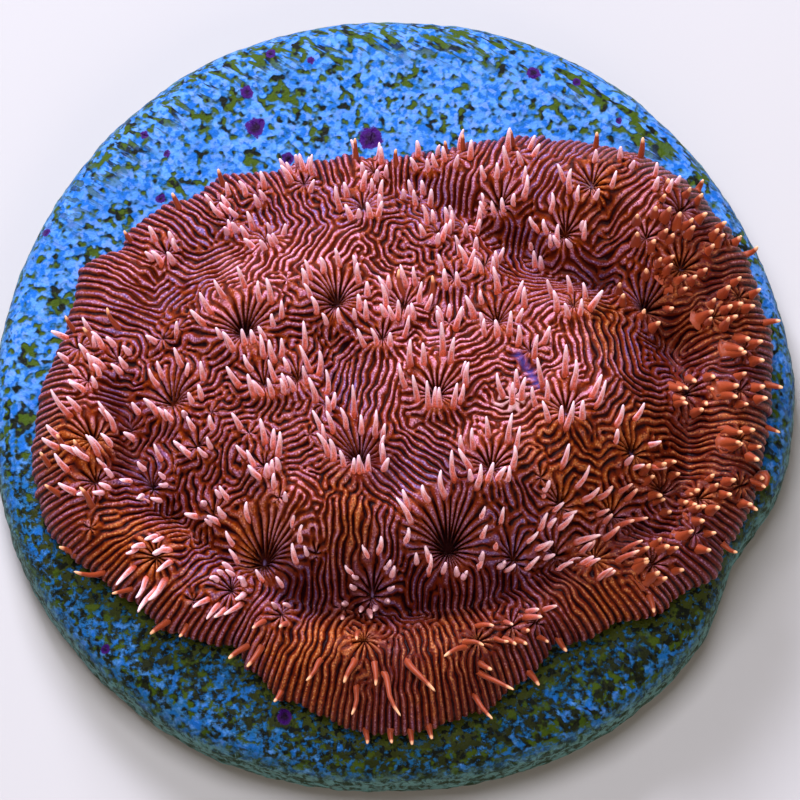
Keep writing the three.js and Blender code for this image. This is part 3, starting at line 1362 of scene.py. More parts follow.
@dataclass(frozen=True)
class DiscFinish:
    """Cast disc grown over with blue film, green turf and violet spots of coralline algae."""

    pale: Colour = srgb(78, 138, 214)
    lavender: Colour = srgb(106, 146, 222)
    azure: Colour = srgb(17, 96, 183)
    teal: Colour = srgb(22, 86, 112)
    olive: Colour = srgb(56, 78, 1)
    black: Colour = srgb(6, 12, 2)
    verge: Colour = srgb(66, 76, 16)
    violet: Colour = srgb(56, 3, 98)
    maroon: Colour = srgb(28, 2, 40)
    wall: Colour = srgb(98, 142, 138)
    wall_moss: Colour = srgb(32, 52, 24)
    brush: Pair = (math.radians(-33), 4.5)

    def material(self) -> bpy.types.Material:
        """Builds the material.

        Returns:
            The material.
        """
        n = Nodes("disc_growth")
        algae, moss = n.attribute("algae"), n.attribute("moss")
        powder = n.math("MULTIPLY_ADD", algae, -0.14, n.noise(0.36, 2.0, 0.45))
        film = n.mix(n.rise(powder, 0.42, 0.56), self.azure, self.pale)
        glint = n.product(n.rise(n.noise(0.3, 2.0), 0.5, 0.62), n.math("SUBTRACT", 1.0, algae), 0.75)
        film = n.mix(glint, film, self.lavender)
        film = n.mix(n.product(n.rise(n.noise(2.4, 3.0), 0.5, 0.62), 0.4), film, self.azure)
        clean = n.math("SUBTRACT", 1.0, algae)
        fine_crumbs = n.product(n.noise(0.24, 3.0, 0.6), algae)
        crumbs = n.math("ADD", fine_crumbs, n.product(n.noise(0.32, 1.0, 0.4), clean))
        fine = n.math("MULTIPLY_ADD", crumbs, 0.76, n.product(n.noise(1.3, 2.0), 0.24))
        open_film = n.math("SUBTRACT", fine, n.math("MULTIPLY_ADD", algae, 0.15, n.product(moss, 0.16)))
        film = n.mix(n.product(n.rise(open_film, 0.52, 0.43), 0.6), film, self.teal)
        film = n.mix(n.product(algae, n.rise(n.noise(1.6, 2.0), 0.46, 0.6), 0.6), film, self.teal)
        depth = n.math("MULTIPLY_ADD", algae, -0.13, n.noise(0.45, 2.0, 0.5))
        turf = n.mix(n.rise(depth, 0.4, 0.52), self.black, self.olive)
        shown = n.rise(open_film, 0.365, 0.455)
        strokes = n.rise(n.noise(0.3, 2.0, 0.5, 0.0, self.brush), 0.5, 0.58)
        streaks = n.product(n.attribute("brushed"), strokes)
        shown = n.product(shown, n.math("SUBTRACT", 1.0, streaks))
        grey = n.mix(n.rise(n.noise(0.3, 2.0), 0.42, 0.48), self.black, self.verge)
        turf = n.mix(n.product(n.attribute("verge"), 0.9), turf, grey)
        colour = n.mix(shown, turf, film)
        ragged = n.math("MULTIPLY_ADD", n.noise(0.3, 4.0, 0.7), 0.9, n.attribute("violet"))
        colour = n.mix(n.rise(ragged, 0.86, 1.0), colour, self.violet)
        colour = n.mix(n.rise(ragged, 1.1, 1.4), colour, self.maroon)
        side = n.mix(n.rise(n.noise(0.4, 5.0, 0.7, 0.4), 0.42, 0.58), self.wall, self.wall_moss)
        colour = n.mix(n.attribute("wall"), colour, side)
        dark = n.math("SUBTRACT", 1.0, shown)
        height = n.math("SUBTRACT", n.noise(0.16, 4.0, 0.6), n.math("MULTIPLY", dark, 0.8))
        return n.finish(colour, 0.6, n.bump(height, 0.1, 0.7), specular_ior_level=0.12)


@dataclass(frozen=True)
class Spot:
    """A round place in the photograph: its pixel and radius in pixels."""

    column: float
    row: float
    radius: float

    def share(self, photo: PhotoFrame, x: Array, y: Array, height: Height) -> Array:
        """How near each place is to the spot.

        Args:
            photo: The photograph's frame.
            x: Places along X in millimetres.
            y: Places along Y in millimetres.
            height: Height of the surface over the disc's top.

        Returns:
            Share, 0 far away to 1 in the middle.
        """
        px, py = photo.plan([self.column], [self.row], height)
        return np.exp(-((np.hypot(x - px, y - py) * photo.pixels_per_mm / self.radius) ** 2))


def spots(*rows: tuple[float, float, float]) -> tuple[Spot, ...]:
    """Makes spots from their measures.

    Args:
        rows: Column, row and radius in pixels.

    Returns:
        The spots.
    """
    return tuple(Spot(*row) for row in rows)


def nearness(places: Sequence[Spot], photo: PhotoFrame, x: Array, y: Array, height: Height) -> Array:
    """How near each place is to any of some spots.

    Args:
        places: The spots.
        photo: The photograph's frame.
        x: Places along X in millimetres.
        y: Places along Y in millimetres.
        height: Height of the surface over the disc's top.

    Returns:
        Share, 0 away from every spot to 1 at the middle of one.
    """
    return np.max([place.share(photo, x, y, height) for place in places], axis=0)


TINTS = {
    "rose": spots(
        (430, 370, 60), (500, 420, 46), (570, 385, 44), (480, 350, 40), (556, 330, 34), (260, 265, 60),
        (340, 260, 50), (400, 300, 40), (560, 190, 36), (640, 210, 30), (370, 180, 36), (220, 300, 36),
        (90, 400, 34), (450, 200, 34), (150, 290, 46), (520, 180, 44), (470, 235, 40), (560, 240, 44),
        (425, 375, 30), (300, 520, 40),
    ),
    # Partly painted shade: lilac patches in valleys, folds and the shaded front band, partly the coral's own
    # lilac.
    "lilac": spots(
        (140, 310, 46), (200, 240, 40), (260, 225, 36), (550, 160, 60), (430, 210, 50), (590, 275, 30),
        (120, 400, 30), (150, 490, 36), (210, 570, 46), (300, 590, 46), (400, 590, 44), (345, 395, 36),
        (415, 480, 36), (510, 540, 50), (640, 350, 36), (520, 250, 40), (330, 210, 40), (640, 290, 26),
        (180, 300, 40),
    ),
    "amber": spots(
        (330, 520, 50), (290, 520, 40), (540, 430, 44), (580, 460, 52), (80, 440, 46), (180, 570, 50),
        (230, 550, 40), (330, 660, 80), (450, 660, 74), (600, 580, 60), (700, 300, 76), (720, 450, 76),
        (590, 190, 40), (610, 330, 40), (640, 440, 50), (120, 540, 40),
    ),
    # Painted shade: patches on the front slope, the skirt, the right flank and a few valleys, where the
    # colony lies in shade.
    "painted_shade": spots(
        (300, 588, 32), (360, 592, 40), (430, 592, 45), (500, 590, 45), (560, 575, 40), (622, 545, 40),
        (672, 490, 40), (692, 430, 40), (684, 360, 40), (662, 320, 30), (130, 470, 30), (125, 420, 25),
        (600, 285, 20), (380, 470, 26), (450, 475, 26), (400, 660, 50), (480, 650, 50), (715, 290, 56),
        (735, 380, 56), (735, 470, 56), (700, 540, 50), (700, 230, 40), (380, 700, 60), (470, 690, 56),
        (560, 640, 40),
    ),
    "star": spots((513, 403, 11), (590, 189, 5), (500, 404, 5)),
    "bare": spots(
        (517, 357, 2.4), (520, 361, 2.6), (523, 365, 2.8), (526, 369, 3), (529, 373, 3.2), (531, 377, 3.2),
        (534, 381, 3), (536, 385, 2.8), (539, 389, 2.4),
    ),
}


@dataclass
class Crust:
    """The colony's ridged body, from its upper side round the lip to a flat underside."""

    relief: Relief
    bed: PolypBed
    ridges: RidgePattern
    base_level: float
    cells: int = 700
    triangles: int = 192000
    ridge_height: float = 0.15
    crown_gain: float = 0.8
    ridge_fullness: float = 0.6
    bare_flattening: float = 0.7
    lift_steps: int = 250
    turn_under: float = 0.97
    name: str = "colony_crust"

    def height(self, x: Array, y: Array) -> Array:
        """Height of the upper side with its polyps.

        Args:
            x: Places along X in millimetres.
            y: Places along Y in millimetres.

        Returns:
            Height in millimetres over the disc's top face.
        """
        return self.relief.smooth_height(x, y) + self.bed.height(x, y)

    def build(self) -> bpy.types.Object:
        """Models the crust.

        Returns:
            The finished mesh object.
        """
        sheet, share, angle = RoundSheet(self.name, self.cells).build()
        reach = share * self.relief.sheet_radius(angle)
        u = self.relief.middle[0] + reach * np.cos(angle)
        v = self.relief.middle[1] + reach * np.sin(angle)
        points = self.relief.surface(u, v, self.height)
        level = np.array([0.0, 0.0, self.base_level])
        move_points(sheet.data, points * MM + level)
        ridge = self.ridges.at(u, v)
        fan, pit = self.bed.shares(u, v)
        rise = np.clip((ridge + 1) / 2, 0, 1) ** self.ridge_fullness * (1 + self.crown_gain * fan)
        smooth = self.relief.smooth_height
        tints = {name: nearness(places, self.bed.photo, u, v, smooth) for name, places in TINTS.items()}
        flat = 1 - self.bare_flattening * tints["bare"]
        self.raise_ridges(sheet, rise * flat / (1 + self.crown_gain))
        marks = {"ridge": ridge, "fan": fan, "pit": pit, "mouth": self.bed.mouths(u, v), **tints}
        for name, values in marks.items():
            set_attribute(sheet.data, name, values)
        self.thin(sheet)
        middle = (self.relief.middle[0] * MM, self.relief.middle[1] * MM)
        RoundSheet.close(sheet, self.turn_under, self.base_level, middle)
        pick(sheet)
        bpy.ops.object.shade_smooth()
        return sheet

    def raise_ridges(self, sheet: bpy.types.Object, weights: Array) -> None:
        """Lifts the ridges out of the smooth crust.

        Args:
            sheet: The crust.
            weights: Share of the full lift, one per vertex.
        """
        group = sheet.vertex_groups.new(name="ridges")
        steps = self.lift_steps
        levels = np.rint(weights * steps).astype(int)
        order = np.argsort(levels, kind="stable")
        edges = np.searchsorted(levels[order], np.arange(steps + 2))
        for step in range(1, steps + 1):
            members = order[edges[step]:edges[step + 1]].tolist()
            if members:
                group.add(members, step / steps, "REPLACE")
        lift = sheet.modifiers.new("ridge_lift", "DISPLACE")
        lift.vertex_group = "ridges"
        lift.direction = "NORMAL"
        lift.mid_level = 0.0
        lift.strength = self.ridge_height * (1 + self.crown_gain) * MM
        bpy.ops.object.modifier_apply(modifier="ridge_lift")
        sheet.vertex_groups.remove(sheet.vertex_groups["ridges"])

    def thin(self, sheet: bpy.types.Object) -> None:
        """Keeps the points where the relief needs them.

        Args:
            sheet: The crust.
        """
        thinning = sheet.modifiers.new("thinning", "DECIMATE")
        thinning.ratio = self.triangles / (2 * len(sheet.data.polygons))
        bpy.ops.object.modifier_apply(modifier="thinning")


# Tentacles that stand out in the photograph: root column and row, then tip column and row, in pixels.
FRINGE = (
    (263, 643, 248, 664), (250, 640, 230, 654), (323, 657, 307, 678), (357, 683, 352, 712),
    (383, 670, 401, 713), (407, 657, 435, 688), (470, 647, 443, 655), (477, 670, 513, 687),
    (473, 690, 492, 714), (527, 663, 538, 678), (283, 683, 275, 695), (366, 726, 367, 742),
    (391, 726, 392, 740), (410, 720, 412, 736), (428, 716, 432, 731), (107, 567, 76, 566),
    (136, 585, 114, 590), (170, 615, 152, 629), (190, 620, 181, 632), (62, 495, 47, 484),
    (52, 467, 42, 451), (67, 452, 59, 437), (86, 462, 76, 444), (95, 507, 82, 487), (72, 551, 54, 542),
    (356, 160, 355, 137), (397, 166, 396, 148), (444, 156, 445, 141), (463, 152, 463, 134),
    (641, 158, 643, 135), (512, 148, 510, 130), (596, 148, 597, 130), (224, 186, 218, 168),
    (180, 208, 172, 192), (132, 240, 124, 228), (700, 184, 706, 170), (744, 250, 758, 240),
    (762, 320, 780, 318), (764, 380, 782, 384), (766, 420, 782, 426), (748, 476, 764, 484),
    (726, 540, 742, 548), (648, 592, 652, 610), (556, 630, 566, 644), (740, 500, 756, 508),
    (404, 300, 399, 270), (430, 305, 432, 278), (120, 330, 108, 308), (96, 350, 84, 330),
    (76, 330, 66, 314),
)


# The fixed heading from which every finger's cross section is laid out.
ACROSS_ALL_FINGERS = (0.31, 0.17, 0.93)


@dataclass
class Tentacles:
    """All finger tentacles, each a copy of one modelled finger bent its own way.

    Sizes are in millimetres, but waver, full_crown, blunt_run, blunt_side and all rows and columns are
    in pixels of the photograph. The outline gives height and radius as shares of the finger's length
    and root radius.
    """

    crust: Crust
    photo: PhotoFrame
    outline: tuple[Pair, ...] = (
        (0.09, 1.15), (0.22, 1.0), (0.42, 0.9), (0.64, 0.76), (0.85, 0.58), (0.965, 0.34),
    )
    foreshortening: float = 1.2
    crown_band: Pair = (0.68, 1.18)
    spacing_play: float = 0.25
    run_band: Pair = (0.68, 1.05)
    crown_run: Slope = Slope(0.7, 0.3)
    full_crown: float = 25.0
    splay: float = 0.2
    waver: float = 3.4
    shortest: float = 0.75
    finger_radius: float = 0.135
    radius_band: Pair = (0.88, 1.12)
    blunt_radius: float = 0.22
    blunt_flare: float = 0.45
    blunt_taper: float = 0.3
    blunt_length: float = 0.95
    blunt_band: Pair = (0.85, 1.15)
    blunt_run: float = 11.0
    blunt_sink: float = 1.6
    blunt_side: tuple[float, float, float] = (632.0, 205.0, 600.0)
    skirt_rows: Pair = (585.0, 640.0)
    ochre_columns: Pair = (530.0, 640.0)
    ochre_rows: Pair = (400.0, 520.0)
    ochre_share: float = 0.7
    blunt_rust: Slope = Slope(0.05, 0.85)
    skirt_rust: float = 0.9
    flare: float = 1.5
    sink: float = 0.12
    sway: float = 0.045
    sway_offset: float = 0.2
    least_ring: float = 0.01
    upright_share: float = 0.55
    lean_share: float = 0.45
    lean_play: float = 0.1
    knee_share: float = 0.45
    probe: float = 0.1
    farthest_past_edge: float = 0.98
    sides: int = 8
    seed: int = 11
    name: str = "tentacles"

    def finger(self) -> tuple[Array, Array, list[tuple[int, ...]]]:
        """Models one straight finger of unit length and unit root radius along +Z.

        Returns:
            Its points, each point's share of the length, and its faces.
        """
        deselect()
        bpy.ops.mesh.primitive_circle_add(vertices=self.sides, radius=self.flare, fill_type="NOTHING")
        blank = bpy.context.object
        bpy.ops.object.mode_set(mode="EDIT")
        bpy.ops.mesh.select_all(action="SELECT")
        last_height, last_radius = 0.0, self.flare
        for height, radius in self.outline:
            bpy.ops.mesh.extrude_region_move(TRANSFORM_OT_translate={"value": (0, 0, height - last_height)})
            shrink = radius / last_radius
            bpy.ops.transform.resize(value=(shrink, shrink, 1.0), center_override=(0, 0, height))
            last_height, last_radius = height, radius
        bpy.ops.mesh.extrude_region_move(TRANSFORM_OT_translate={"value": (0, 0, 1.0 - last_height)})
        bpy.ops.mesh.merge(type="CENTER")
        bpy.ops.object.mode_set(mode="OBJECT")
        points = points_of(blank.data)
        faces = [tuple(face.vertices) for face in blank.data.polygons]
        bpy.data.objects.remove(blank)
        return points, points[:, 2].copy(), faces

    def placed(self) -> Array:
        """Lists every finger by the pixels of its root and its tip.

        Returns:
            Rows of root column, root row, tip column, tip row, bluntness and whether it is at the margin.
        """
        fringe = np.array(FRINGE, float)
        at_margin = np.column_stack([fringe, np.zeros(len(fringe)), np.ones(len(fringe))])
        rng = np.random.default_rng(self.seed)
        crowns = [self.crown(index, fringe, rng) for index in range(len(self.crust.bed.members))]
        return np.concatenate([at_margin, *crowns])

    def crown(self, index: int, fringe: Array, rng: np.random.Generator) -> Array:
        """Spreads one polyp's fingers over the ridges of its own fan.

        Args:
            index: Which polyp.
            fringe: The fingers at the margin, which count towards the polyps beside them.
            rng: Source of the small differences.

        Returns:
            Rows of root column, root row, tip column, tip row, bluntness and 0 for not at the margin.
        """
        bed = self.crust.bed
        item = bed.members[index]
        beside = np.hypot(fringe[:, 0] - item.column, fringe[:, 1] - item.row) < item.crown
        count = max(item.tentacles - int(np.sum(beside)), 0)
        first_column, first_row, last_row = self.blunt_side
        blunt = float(item.column > first_column and first_row < item.row < last_row)
        start = rng.uniform(0, 2 * np.pi)
        rows = np.zeros((count, 6))
        for k in range(count):
            wanted = start + 2 * np.pi * (k + rng.uniform(-self.spacing_play, self.spacing_play)) / count
            septum = np.rint((wanted * bed.septa[index] + bed.phase[index]) / (2 * np.pi))
            turn = (septum * 2 * np.pi - bed.phase[index]) / bed.septa[index]
            longer = 1 + bed.long_side * math.cos(turn - bed.facing[index])
            away = bed.radius[index] * longer * rng.uniform(*self.crown_band)
            x = bed.x[index] + away * math.cos(turn)
            y = bed.y[index] + away * math.sin(turn)
            column, row = self.photo.pixel(x, y, self.crust.relief.smooth_height)
            right, down = lean_at(np.array([column]), np.array([row]))
            lean = np.array([right[0], down[0]])
            outward = np.array([column - item.column, row - item.row]) / item.crown
            lean += self.splay * np.linalg.norm(lean) * outward + rng.normal(0, self.waver, 2)
            lean *= rng.uniform(*self.run_band) * self.crown_run.at(min(item.crown / self.full_crown, 1))
            if blunt:
                lean *= self.blunt_run / max(np.linalg.norm(lean), 1)
            rows[k] = (column, row, column + lean[0], row + lean[1], blunt, 0)
        return rows

    def on_crust(self, x: Array, y: Array) -> Array:
        """Points of the crust over places of the plan.

        Args:
            x: Places along X.
            y: Places along Y.

        Returns:
            Points in millimetres over the disc's top face, one row each.
        """
        relief = self.crust.relief
        reach, angle = relief.polar(x, y)
        edge = relief.crust_radius(angle)
        past = np.clip((reach - edge) / relief.lip_width, 0, self.farthest_past_edge)
        sheet = np.minimum(reach, edge) + relief.lip_arc * np.arcsin(past)
        u = relief.middle[0] + sheet * np.cos(angle)
        v = relief.middle[1] + sheet * np.sin(angle)
        return relief.surface(u, v, self.crust.height)

    def build(self) -> bpy.types.Object:
        """Models and joins the tentacles.

        Returns:
            The finished mesh object.
        """
        points, along, faces = self.finger()
        rows = self.placed()
        rng = np.random.default_rng(self.seed + 1)
        count = len(rows)
        blunt_play = rng.uniform(*self.blunt_band, count)
        lean_play = rng.normal(0, self.lean_play, (count, 3))
        radius_play = rng.uniform(*self.radius_band, count)
        swing = rng.uniform(-1, 1, count)
        tint = rng.uniform(0, 1, count)
        blunt = rows[:, 4]
        root, normal = self.rooted(rows)
        lean, length = self.leaning(rows, blunt_play)
        first = unit(normal * self.upright_share + lean * self.lean_share + lean_play)
        thick = np.where(blunt > 0.5, self.blunt_radius, self.finger_radius) * radius_play
        t = along[None, :, None]
        depth = self.sink * (1 + self.blunt_sink * blunt)
        start = (root - normal * depth[:, None])[:, None, :]
        knee = start + first[:, None, :] * (length * self.knee_share)[:, None, None]
        end = (root + lean * length[:, None])[:, None, :]
        path = (1 - t) ** 2 * start + 2 * t * (1 - t) * knee + t * t * end
        sideways = np.cross(lean, normal + self.sway_offset)[:, None, :] * swing[:, None, None]
        path = path + sideways * np.sin(2 * np.pi * t) * self.sway * length[:, None, None]
        heading = unit(2 * (1 - t) * (knee - start) + 2 * t * (end - knee))
        side = unit(np.cross(heading, np.broadcast_to(ACROSS_ALL_FINGERS, heading.shape)))
        ring = side * points[None, :, 0:1] + np.cross(heading, side) * points[None, :, 1:2]
        # How much each point faces the camera; the finish paints rim highlights and shade by it.
        front = ring @ self.photo.direction(np.zeros(1), np.zeros(1), 1.0)[0]
        front /= np.maximum(np.linalg.norm(ring, axis=2), self.least_ring)
        shape = 1 + blunt[:, None, None] * (self.blunt_flare * (1 - t) ** 2 - self.blunt_taper * t)
        body = path + ring * thick[:, None, None] * shape
        mesh = self.joined(body * MM + np.array([0.0, 0.0, self.crust.base_level]), faces)
        block = len(points)
        set_attribute(mesh, "along", np.tile(along, count))
        set_attribute(mesh, "tint", np.repeat(tint, block))
        set_attribute(mesh, "front", front.ravel())
        set_attribute(mesh, "ruddy", np.repeat(self.ruddiness(rows), block))
        piece = bpy.data.objects.new(self.name, mesh)
        bpy.context.scene.collection.objects.link(piece)
        self.close_roots(piece)
        bpy.ops.object.shade_smooth()
        return piece

    def rooted(self, rows: Array) -> tuple[Array, Array]:
        """Finds where each finger stands on the crust.

        Args:
            rows: The fingers' rows, as placed gives them.

        Returns:
            Roots in millimetres over the disc's top, and the crust's normals there.
        """
        x, y = self.photo.plan(rows[:, 0], rows[:, 1], self.crust.relief.smooth_height)
        root = self.on_crust(x, y)
        along_x = self.on_crust(x + self.probe, y) - root
        along_y = self.on_crust(x, y + self.probe) - root
        return root, unit(np.cross(along_x, along_y))

    def leaning(self, rows: Array, blunt_play: Array) -> tuple[Array, Array]:
        """Works out each finger's lean and length from its run in the photograph.

        Args:
            rows: The fingers' rows, as placed gives them.
            blunt_play: How much longer than usual each finger is where it is blunt.

        Returns:
            Unit vectors from root to tip, and lengths in millimetres.
        """
        right, down = rows[:, 2] - rows[:, 0], rows[:, 3] - rows[:, 1]
        run = np.hypot(right, down) / self.photo.pixels_per_mm
        slim = np.maximum(run * self.foreshortening, self.shortest)
        blunt = np.maximum(self.blunt_length * blunt_play, run)
        length = np.where(rows[:, 4] > 0.5, blunt, slim)
        return self.photo.direction(right, down, length), length

    def ruddiness(self, rows: Array) -> Array:
        """How rusty each finger is: most where it is blunt, at the margin or at the front right.

        Args:
            rows: The fingers' rows, as placed gives them.

        Returns:
            Share, 0 to 1.
        """
        skirt = np.maximum(smoothstep(rows[:, 1], *self.skirt_rows), rows[:, 5])
        to_right = smoothstep(rows[:, 0], *self.ochre_columns)
        ochre = self.ochre_share * to_right * smoothstep(rows[:, 1], *self.ochre_rows)
        return np.clip(self.blunt_rust.at(rows[:, 4]) + self.skirt_rust * skirt + ochre, 0, 1)

    def joined(self, vertices: Array, faces: list[tuple[int, ...]]) -> bpy.types.Mesh:
        """Joins copies of the one finger in a mesh.

        Args:
            vertices: Points in metres, by finger and by point of the finger.
            faces: The faces of one finger.

        Returns:
            The mesh.
        """
        count, block = vertices.shape[:2]
        corners = np.concatenate([np.array(face) for face in faces])
        loops = (corners[None, :] + np.arange(count)[:, None] * block).ravel()
        sizes = np.tile([len(face) for face in faces], count)
        starts = np.concatenate([[0], np.cumsum(sizes)[:-1]])
        mesh = bpy.data.meshes.new(self.name)
        mesh.vertices.add(count * block)
        mesh.vertices.foreach_set("co", vertices.astype(np.float32).ravel())
        mesh.loops.add(len(loops))
        mesh.loops.foreach_set("vertex_index", loops.astype(np.int32))
        mesh.polygons.add(len(starts))
        mesh.polygons.foreach_set("loop_start", starts.astype(np.int32))
        mesh.update(calc_edges=True)
        return mesh

    @staticmethod
    def close_roots(piece: bpy.types.Object) -> None:
        """Fills the open root of every finger and turns all faces outward.

        Args:
            piece: The joined fingers.
        """
        pick(piece)
        bpy.ops.object.mode_set(mode="EDIT")
        bpy.ops.mesh.select_mode(type="EDGE")
        bpy.ops.mesh.select_all(action="DESELECT")
        bpy.ops.mesh.select_non_manifold(extend=False)
        bpy.ops.mesh.fill()
        bpy.ops.mesh.select_all(action="SELECT")
        bpy.ops.mesh.normals_make_consistent(inside=False)
        bpy.ops.object.mode_set(mode="OBJECT")


@dataclass
class Disc:
    """The cast disc, with its rounded rim, pocked face and growth."""

    photo: PhotoFrame
    relief: Relief
    height: float
    radii: tuple[float, ...] = (16.1, 15.9, 16.1, 16.1, 16.2, 16.0, 16.1, 16.4, 16.4, 16.1, 16.1, 15.9)
    dent: tuple[float, float, float] = (-0.45, 0.16, 0.7)
    top_rounding: float = 1.5
    foot_rounding: float = 1.3
    arc_points: tuple[int, int] = (9, 7)
    cells: int = 270
    roughness: float = 0.035
    lumps: tuple[Grain, ...] = (Grain(0.42, 21), Grain(0.2, 22, 0.7))
    swell: Grain = Grain(1.7, 23, 1.2)
    lowering: float = 1.5
    foot_flat: float = 0.4
    wall_edge: Pair = (0.45, 1.5)
    algae_reach: float = 2.2
    verge_reach: float = 0.9
    algae_front: Pair = (-2.0, 8.0)
    algae_share: Pair = (0.3, 0.8)
    brushed_back: Pair = (4.0, 11.0)
    brushed_right: Pair = (13.0, 19.0)
    brushed_rim: Pair = (-2.6, -1.2)
    turn_under: float = 0.98
    crease: float = math.radians(60)
    violet_spots: tuple[Spot, ...] = spots(
        (255, 125, 12), (370, 137, 14), (535, 70, 8), (288, 157, 8), (246, 90, 8), (160, 197, 6),
        (270, 50, 6), (285, 714, 9), (107, 645, 5), (578, 79, 5), (165, 152, 5), (68, 505, 6),
        (775, 385, 5), (143, 133, 5), (44, 228, 5), (310, 58, 5), (620, 118, 4),
    )
    moss_spots: tuple[Spot, ...] = spots(
        (275, 90, 14), (300, 110, 10), (405, 75, 10), (318, 135, 10), (150, 240, 18), (120, 215, 12),
        (230, 105, 9), (205, 120, 12), (350, 100, 8), (440, 120, 9), (560, 105, 8), (500, 60, 8),
        (175, 180, 10), (60, 300, 14), (90, 255, 10), (30, 350, 16), (20, 420, 16), (640, 130, 12),
        (740, 250, 16), (600, 100, 8), (340, 60, 8), (460, 85, 7), (250, 155, 9), (700, 175, 10),
        (770, 330, 12),
    )
    name: str = "disc_body"

    def outline(self, angle: Array) -> Array:
        """The disc's radius.

        Args:
            angle: Angles in radians.

        Returns:
            Radius in millimetres.
        """
        place, width, depth = self.dent
        return ring_radius(self.radii, angle) - depth * np.exp(-(((angle - place) / width) ** 2))

    def section(self) -> tuple[Array, Array, Array]:
        """The disc's outline in section, from the middle of its top to its foot.

        Returns:
            Distances run along the section, offsets inward from the rim, and heights.
        """
        top = [(self.radii[0], self.height)]
        upper = [
            (self.top_rounding * (1 - math.sin(a)), self.height - self.top_rounding * (1 - math.cos(a)))
            for a in np.linspace(0, math.pi / 2, self.arc_points[0])
        ]
        lower = [
            (self.foot_rounding * (1 - math.cos(a)), self.foot_rounding * (1 - math.sin(a)))
            for a in np.linspace(0, math.pi / 2, self.arc_points[1])
        ]
        line = np.array(top + upper + lower)
        run = np.concatenate([[0.0], np.cumsum(np.hypot(*np.diff(line, axis=0).T))])
        return run, line[:, 0], line[:, 1]

    def build(self) -> bpy.types.Object:
        """Models the disc.

        Returns:
            The finished mesh object.
        """
        sheet, share, angle = RoundSheet(self.name, self.cells).build()
        run, insets, heights = self.section()
        walked = share * run[-1]
        rim = self.outline(np.arctan2(np.sin(angle), np.cos(angle)))
        radius = rim * (1 - np.interp(walked, run, insets) / self.radii[0])
        level = np.interp(walked, run, heights)
        x, y = radius * np.cos(angle), radius * np.sin(angle)
        flat = 1 - smoothstep(level, 0.0, self.foot_flat)
        lumps = grains(self.lumps, x, y + level) + self.swell.at(x, y)
        lift = self.roughness * lumps * (1 - flat)
        wall = smoothstep(self.height - level, *self.wall_edge)
        scale = 1 + lift * wall / np.maximum(radius, 1)
        level = level + lift * (1 - wall) - self.roughness * self.lowering * (1 - wall)
        move_points(sheet.data, np.stack([x * scale, y * scale, level], axis=-1) * MM)
        back = smoothstep(y, *self.brushed_back) + smoothstep(x - y, *self.brushed_right)
        by_rim = smoothstep(radius - rim, *self.brushed_rim)
        marks = {
            "wall": wall,
            "algae": self.algae(x, y, self.algae_reach),
            "verge": self.algae(x, y, self.verge_reach) ** 2,
            "brushed": np.clip(back, 0, 1) * by_rim * (1 - wall),
            "violet": nearness(self.violet_spots, self.photo, x, y, self.level_top),
            "moss": nearness(self.moss_spots, self.photo, x, y, self.level_top),
        }
        for name, values in marks.items():
            set_attribute(sheet.data, name, values)
        RoundSheet.close(sheet, self.turn_under, 0.0, (0.0, 0.0))
        pick(sheet)
        bpy.ops.object.shade_smooth_by_angle(angle=self.crease)
        return sheet

    @staticmethod
    def level_top(x: Array, y: Array) -> Array:
        """Height of the disc's top over itself.

        Args:
            x: Places along X.
            y: Places along Y.

        Returns:
            Zero at each place.
        """
        return 0.0 * (x + y)

    def algae(self, x: Array, y: Array, reach: float) -> Array:
        """How thick the growth is in front, thickest along the coral's margin.

        Args:
            x: Places along X in millimetres.
            y: Places along Y in millimetres.
            reach: How far from the margin the thickest growth goes, in millimetres.

        Returns:
            Share, 0 to 1.
        """
        away, angle = self.relief.polar(x, y)
        gap = away - self.relief.outline(angle)
        front = smoothstep(-y, *self.algae_front)
        everywhere, at_margin = self.algae_share
        return np.clip(front * (everywhere + at_margin * np.exp(-np.maximum(gap, 0) / reach)), 0, 1)


@dataclass(frozen=True)
class Lamp:
    """A soft square light that looks at the object: place and width in metres, power in watts."""

    name: str
    place: tuple[float, float, float]
    width: float
    power: float
    tint: Colour

    def hang(self) -> None:
        """Adds the light."""
        lamp = bpy.data.lights.new(self.name, "AREA")
        lamp.size = self.width
        lamp.energy = self.power
        lamp.color = self.tint
        holder = bpy.data.objects.new(self.name, lamp)
        holder.location = self.place
        holder.rotation_euler = (-Vector(self.place)).to_track_quat("-Z", "Y").to_euler()
        bpy.context.scene.collection.objects.link(holder)


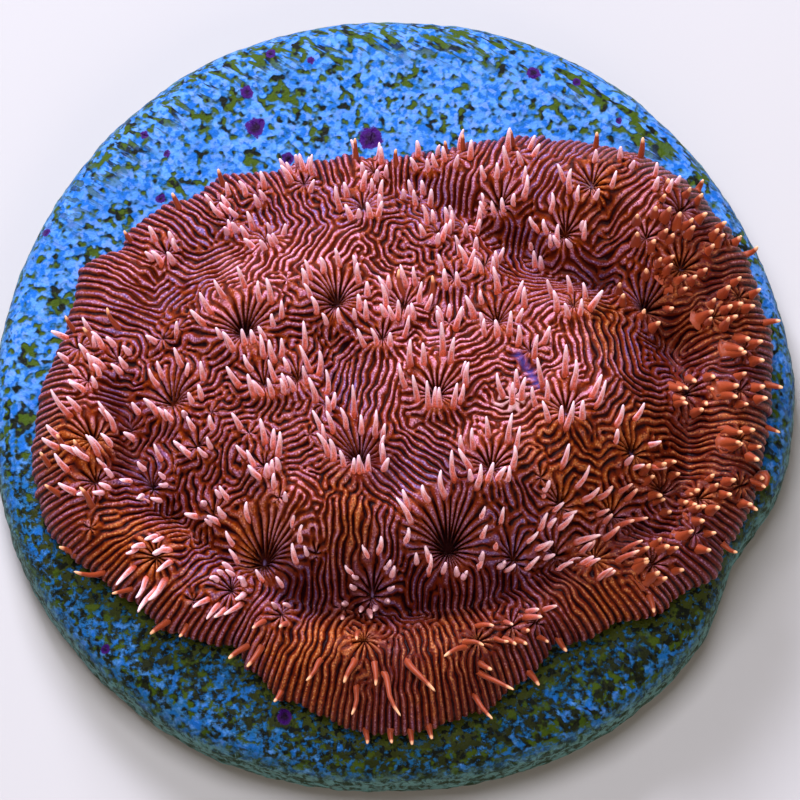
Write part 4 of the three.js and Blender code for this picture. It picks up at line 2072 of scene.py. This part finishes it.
@dataclass
class Studio:
    """Pale floor, soft lights and the camera at the photograph's angle."""

    photo: PhotoFrame
    subject_height: float
    distance: float = 0.60
    sensor_width: float = 36.0
    floor_size: float = 3.0
    floor_tones: tuple[Colour, Colour] = (srgb(177, 177, 176), srgb(182, 182, 181))
    sky: Colour = srgb(206, 214, 232)
    sky_strength: float = 0.17
    lamps: tuple[Lamp, ...] = (
        Lamp("key", (-0.08, 0.27, 0.21), 0.12, 2.0, (0.86, 0.84, 1.0)),
        Lamp("fill", (0.08, -0.24, 0.20), 0.2, 0.34, (1.0, 0.8, 0.6)),
        Lamp("overhead", (-0.04, 0.04, 0.34), 0.16, 0.95, (0.95, 0.92, 1.0)),
    )

    def build(self) -> None:
        """Sets up floor, lights and camera."""
        self.floor()
        for lamp in self.lamps:
            lamp.hang()
        world = bpy.data.worlds.new("studio")
        world.use_nodes = True
        background = world.node_tree.nodes["Background"]
        background.inputs["Color"].default_value = (*self.sky, 1.0)
        background.inputs["Strength"].default_value = self.sky_strength
        bpy.context.scene.world = world
        bpy.context.scene.view_settings.view_transform = "Standard"
        self.camera()

    def floor(self) -> None:
        """Adds the pale floor."""
        deselect()
        bpy.ops.mesh.primitive_plane_add(size=self.floor_size, location=(0, 0, 0))
        floor = bpy.context.object
        floor.name = "studio_floor"
        n = Nodes("floor_paint")
        colour = n.mix(n.noise(40.0, 2.0), *self.floor_tones)
        floor.data.materials.append(n.finish(colour, 0.7, n.bump(n.noise(0.6, 2.0), 0.01, 0.1)))

    def camera(self) -> None:
        """Stands the camera at the photograph's angle and scale."""
        photo = self.photo
        s, c = math.sin(photo.elevation), math.cos(photo.elevation)
        middle = IMAGE_SIDE / 2
        right = MM * (middle - photo.middle_column) / photo.pixels_per_mm
        above = MM * (photo.middle_row - middle) / photo.pixels_per_mm
        target = np.array([right, above * s, self.subject_height + above * c])
        view = np.array([0.0, -c, s])
        lens = bpy.data.cameras.new("camera")
        lens.sensor_width = self.sensor_width
        lens.lens = self.sensor_width * self.distance / (IMAGE_SIDE / photo.pixels_per_mm * MM)
        lens.clip_start = 0.01
        camera = bpy.data.objects.new("camera", lens)
        camera.location = Vector(target + self.distance * view)
        camera.rotation_euler = (math.pi / 2 - photo.elevation, 0.0, 0.0)
        bpy.context.scene.collection.objects.link(camera)
        bpy.context.scene.camera = camera


def report(piece: bpy.types.Object) -> None:
    """Logs a piece's triangles and size.

    Args:
        piece: The piece.
    """
    triangles = sum(len(face.vertices) - 2 for face in piece.data.polygons)
    sides = [round(side, 4) for side in piece.dimensions]
    LOG.info("%s: %d triangles, %s m", piece.name, triangles, sides)


def main() -> None:
    """Builds the object and its studio."""
    logging.basicConfig(level=logging.INFO, format="%(name)s %(message)s")
    photo = PhotoFrame()
    relief = Relief()
    disc_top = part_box("frag_disc")[1][2]
    bed = PolypBed(relief, photo)
    ridges = RidgePattern(relief, bed)
    bed.place(ridges.pitch)
    ridges.grow()

    crust = Crust(relief, bed, ridges, disc_top)
    body = crust.build()
    body.data.materials.append(CrustFinish().material())
    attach(body, "root")
    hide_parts("coral_colony")
    report(body)

    fingers = Tentacles(crust, photo).build()
    fingers.data.materials.append(TentacleFinish().material())
    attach(fingers, "root")
    report(fingers)

    disc = Disc(photo, relief, disc_top / MM).build()
    disc.data.materials.append(DiscFinish().material())
    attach(disc, "root")
    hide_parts("frag_disc")
    report(disc)

    Studio(photo, disc_top).build()


if __name__ == "__main__":
    main()
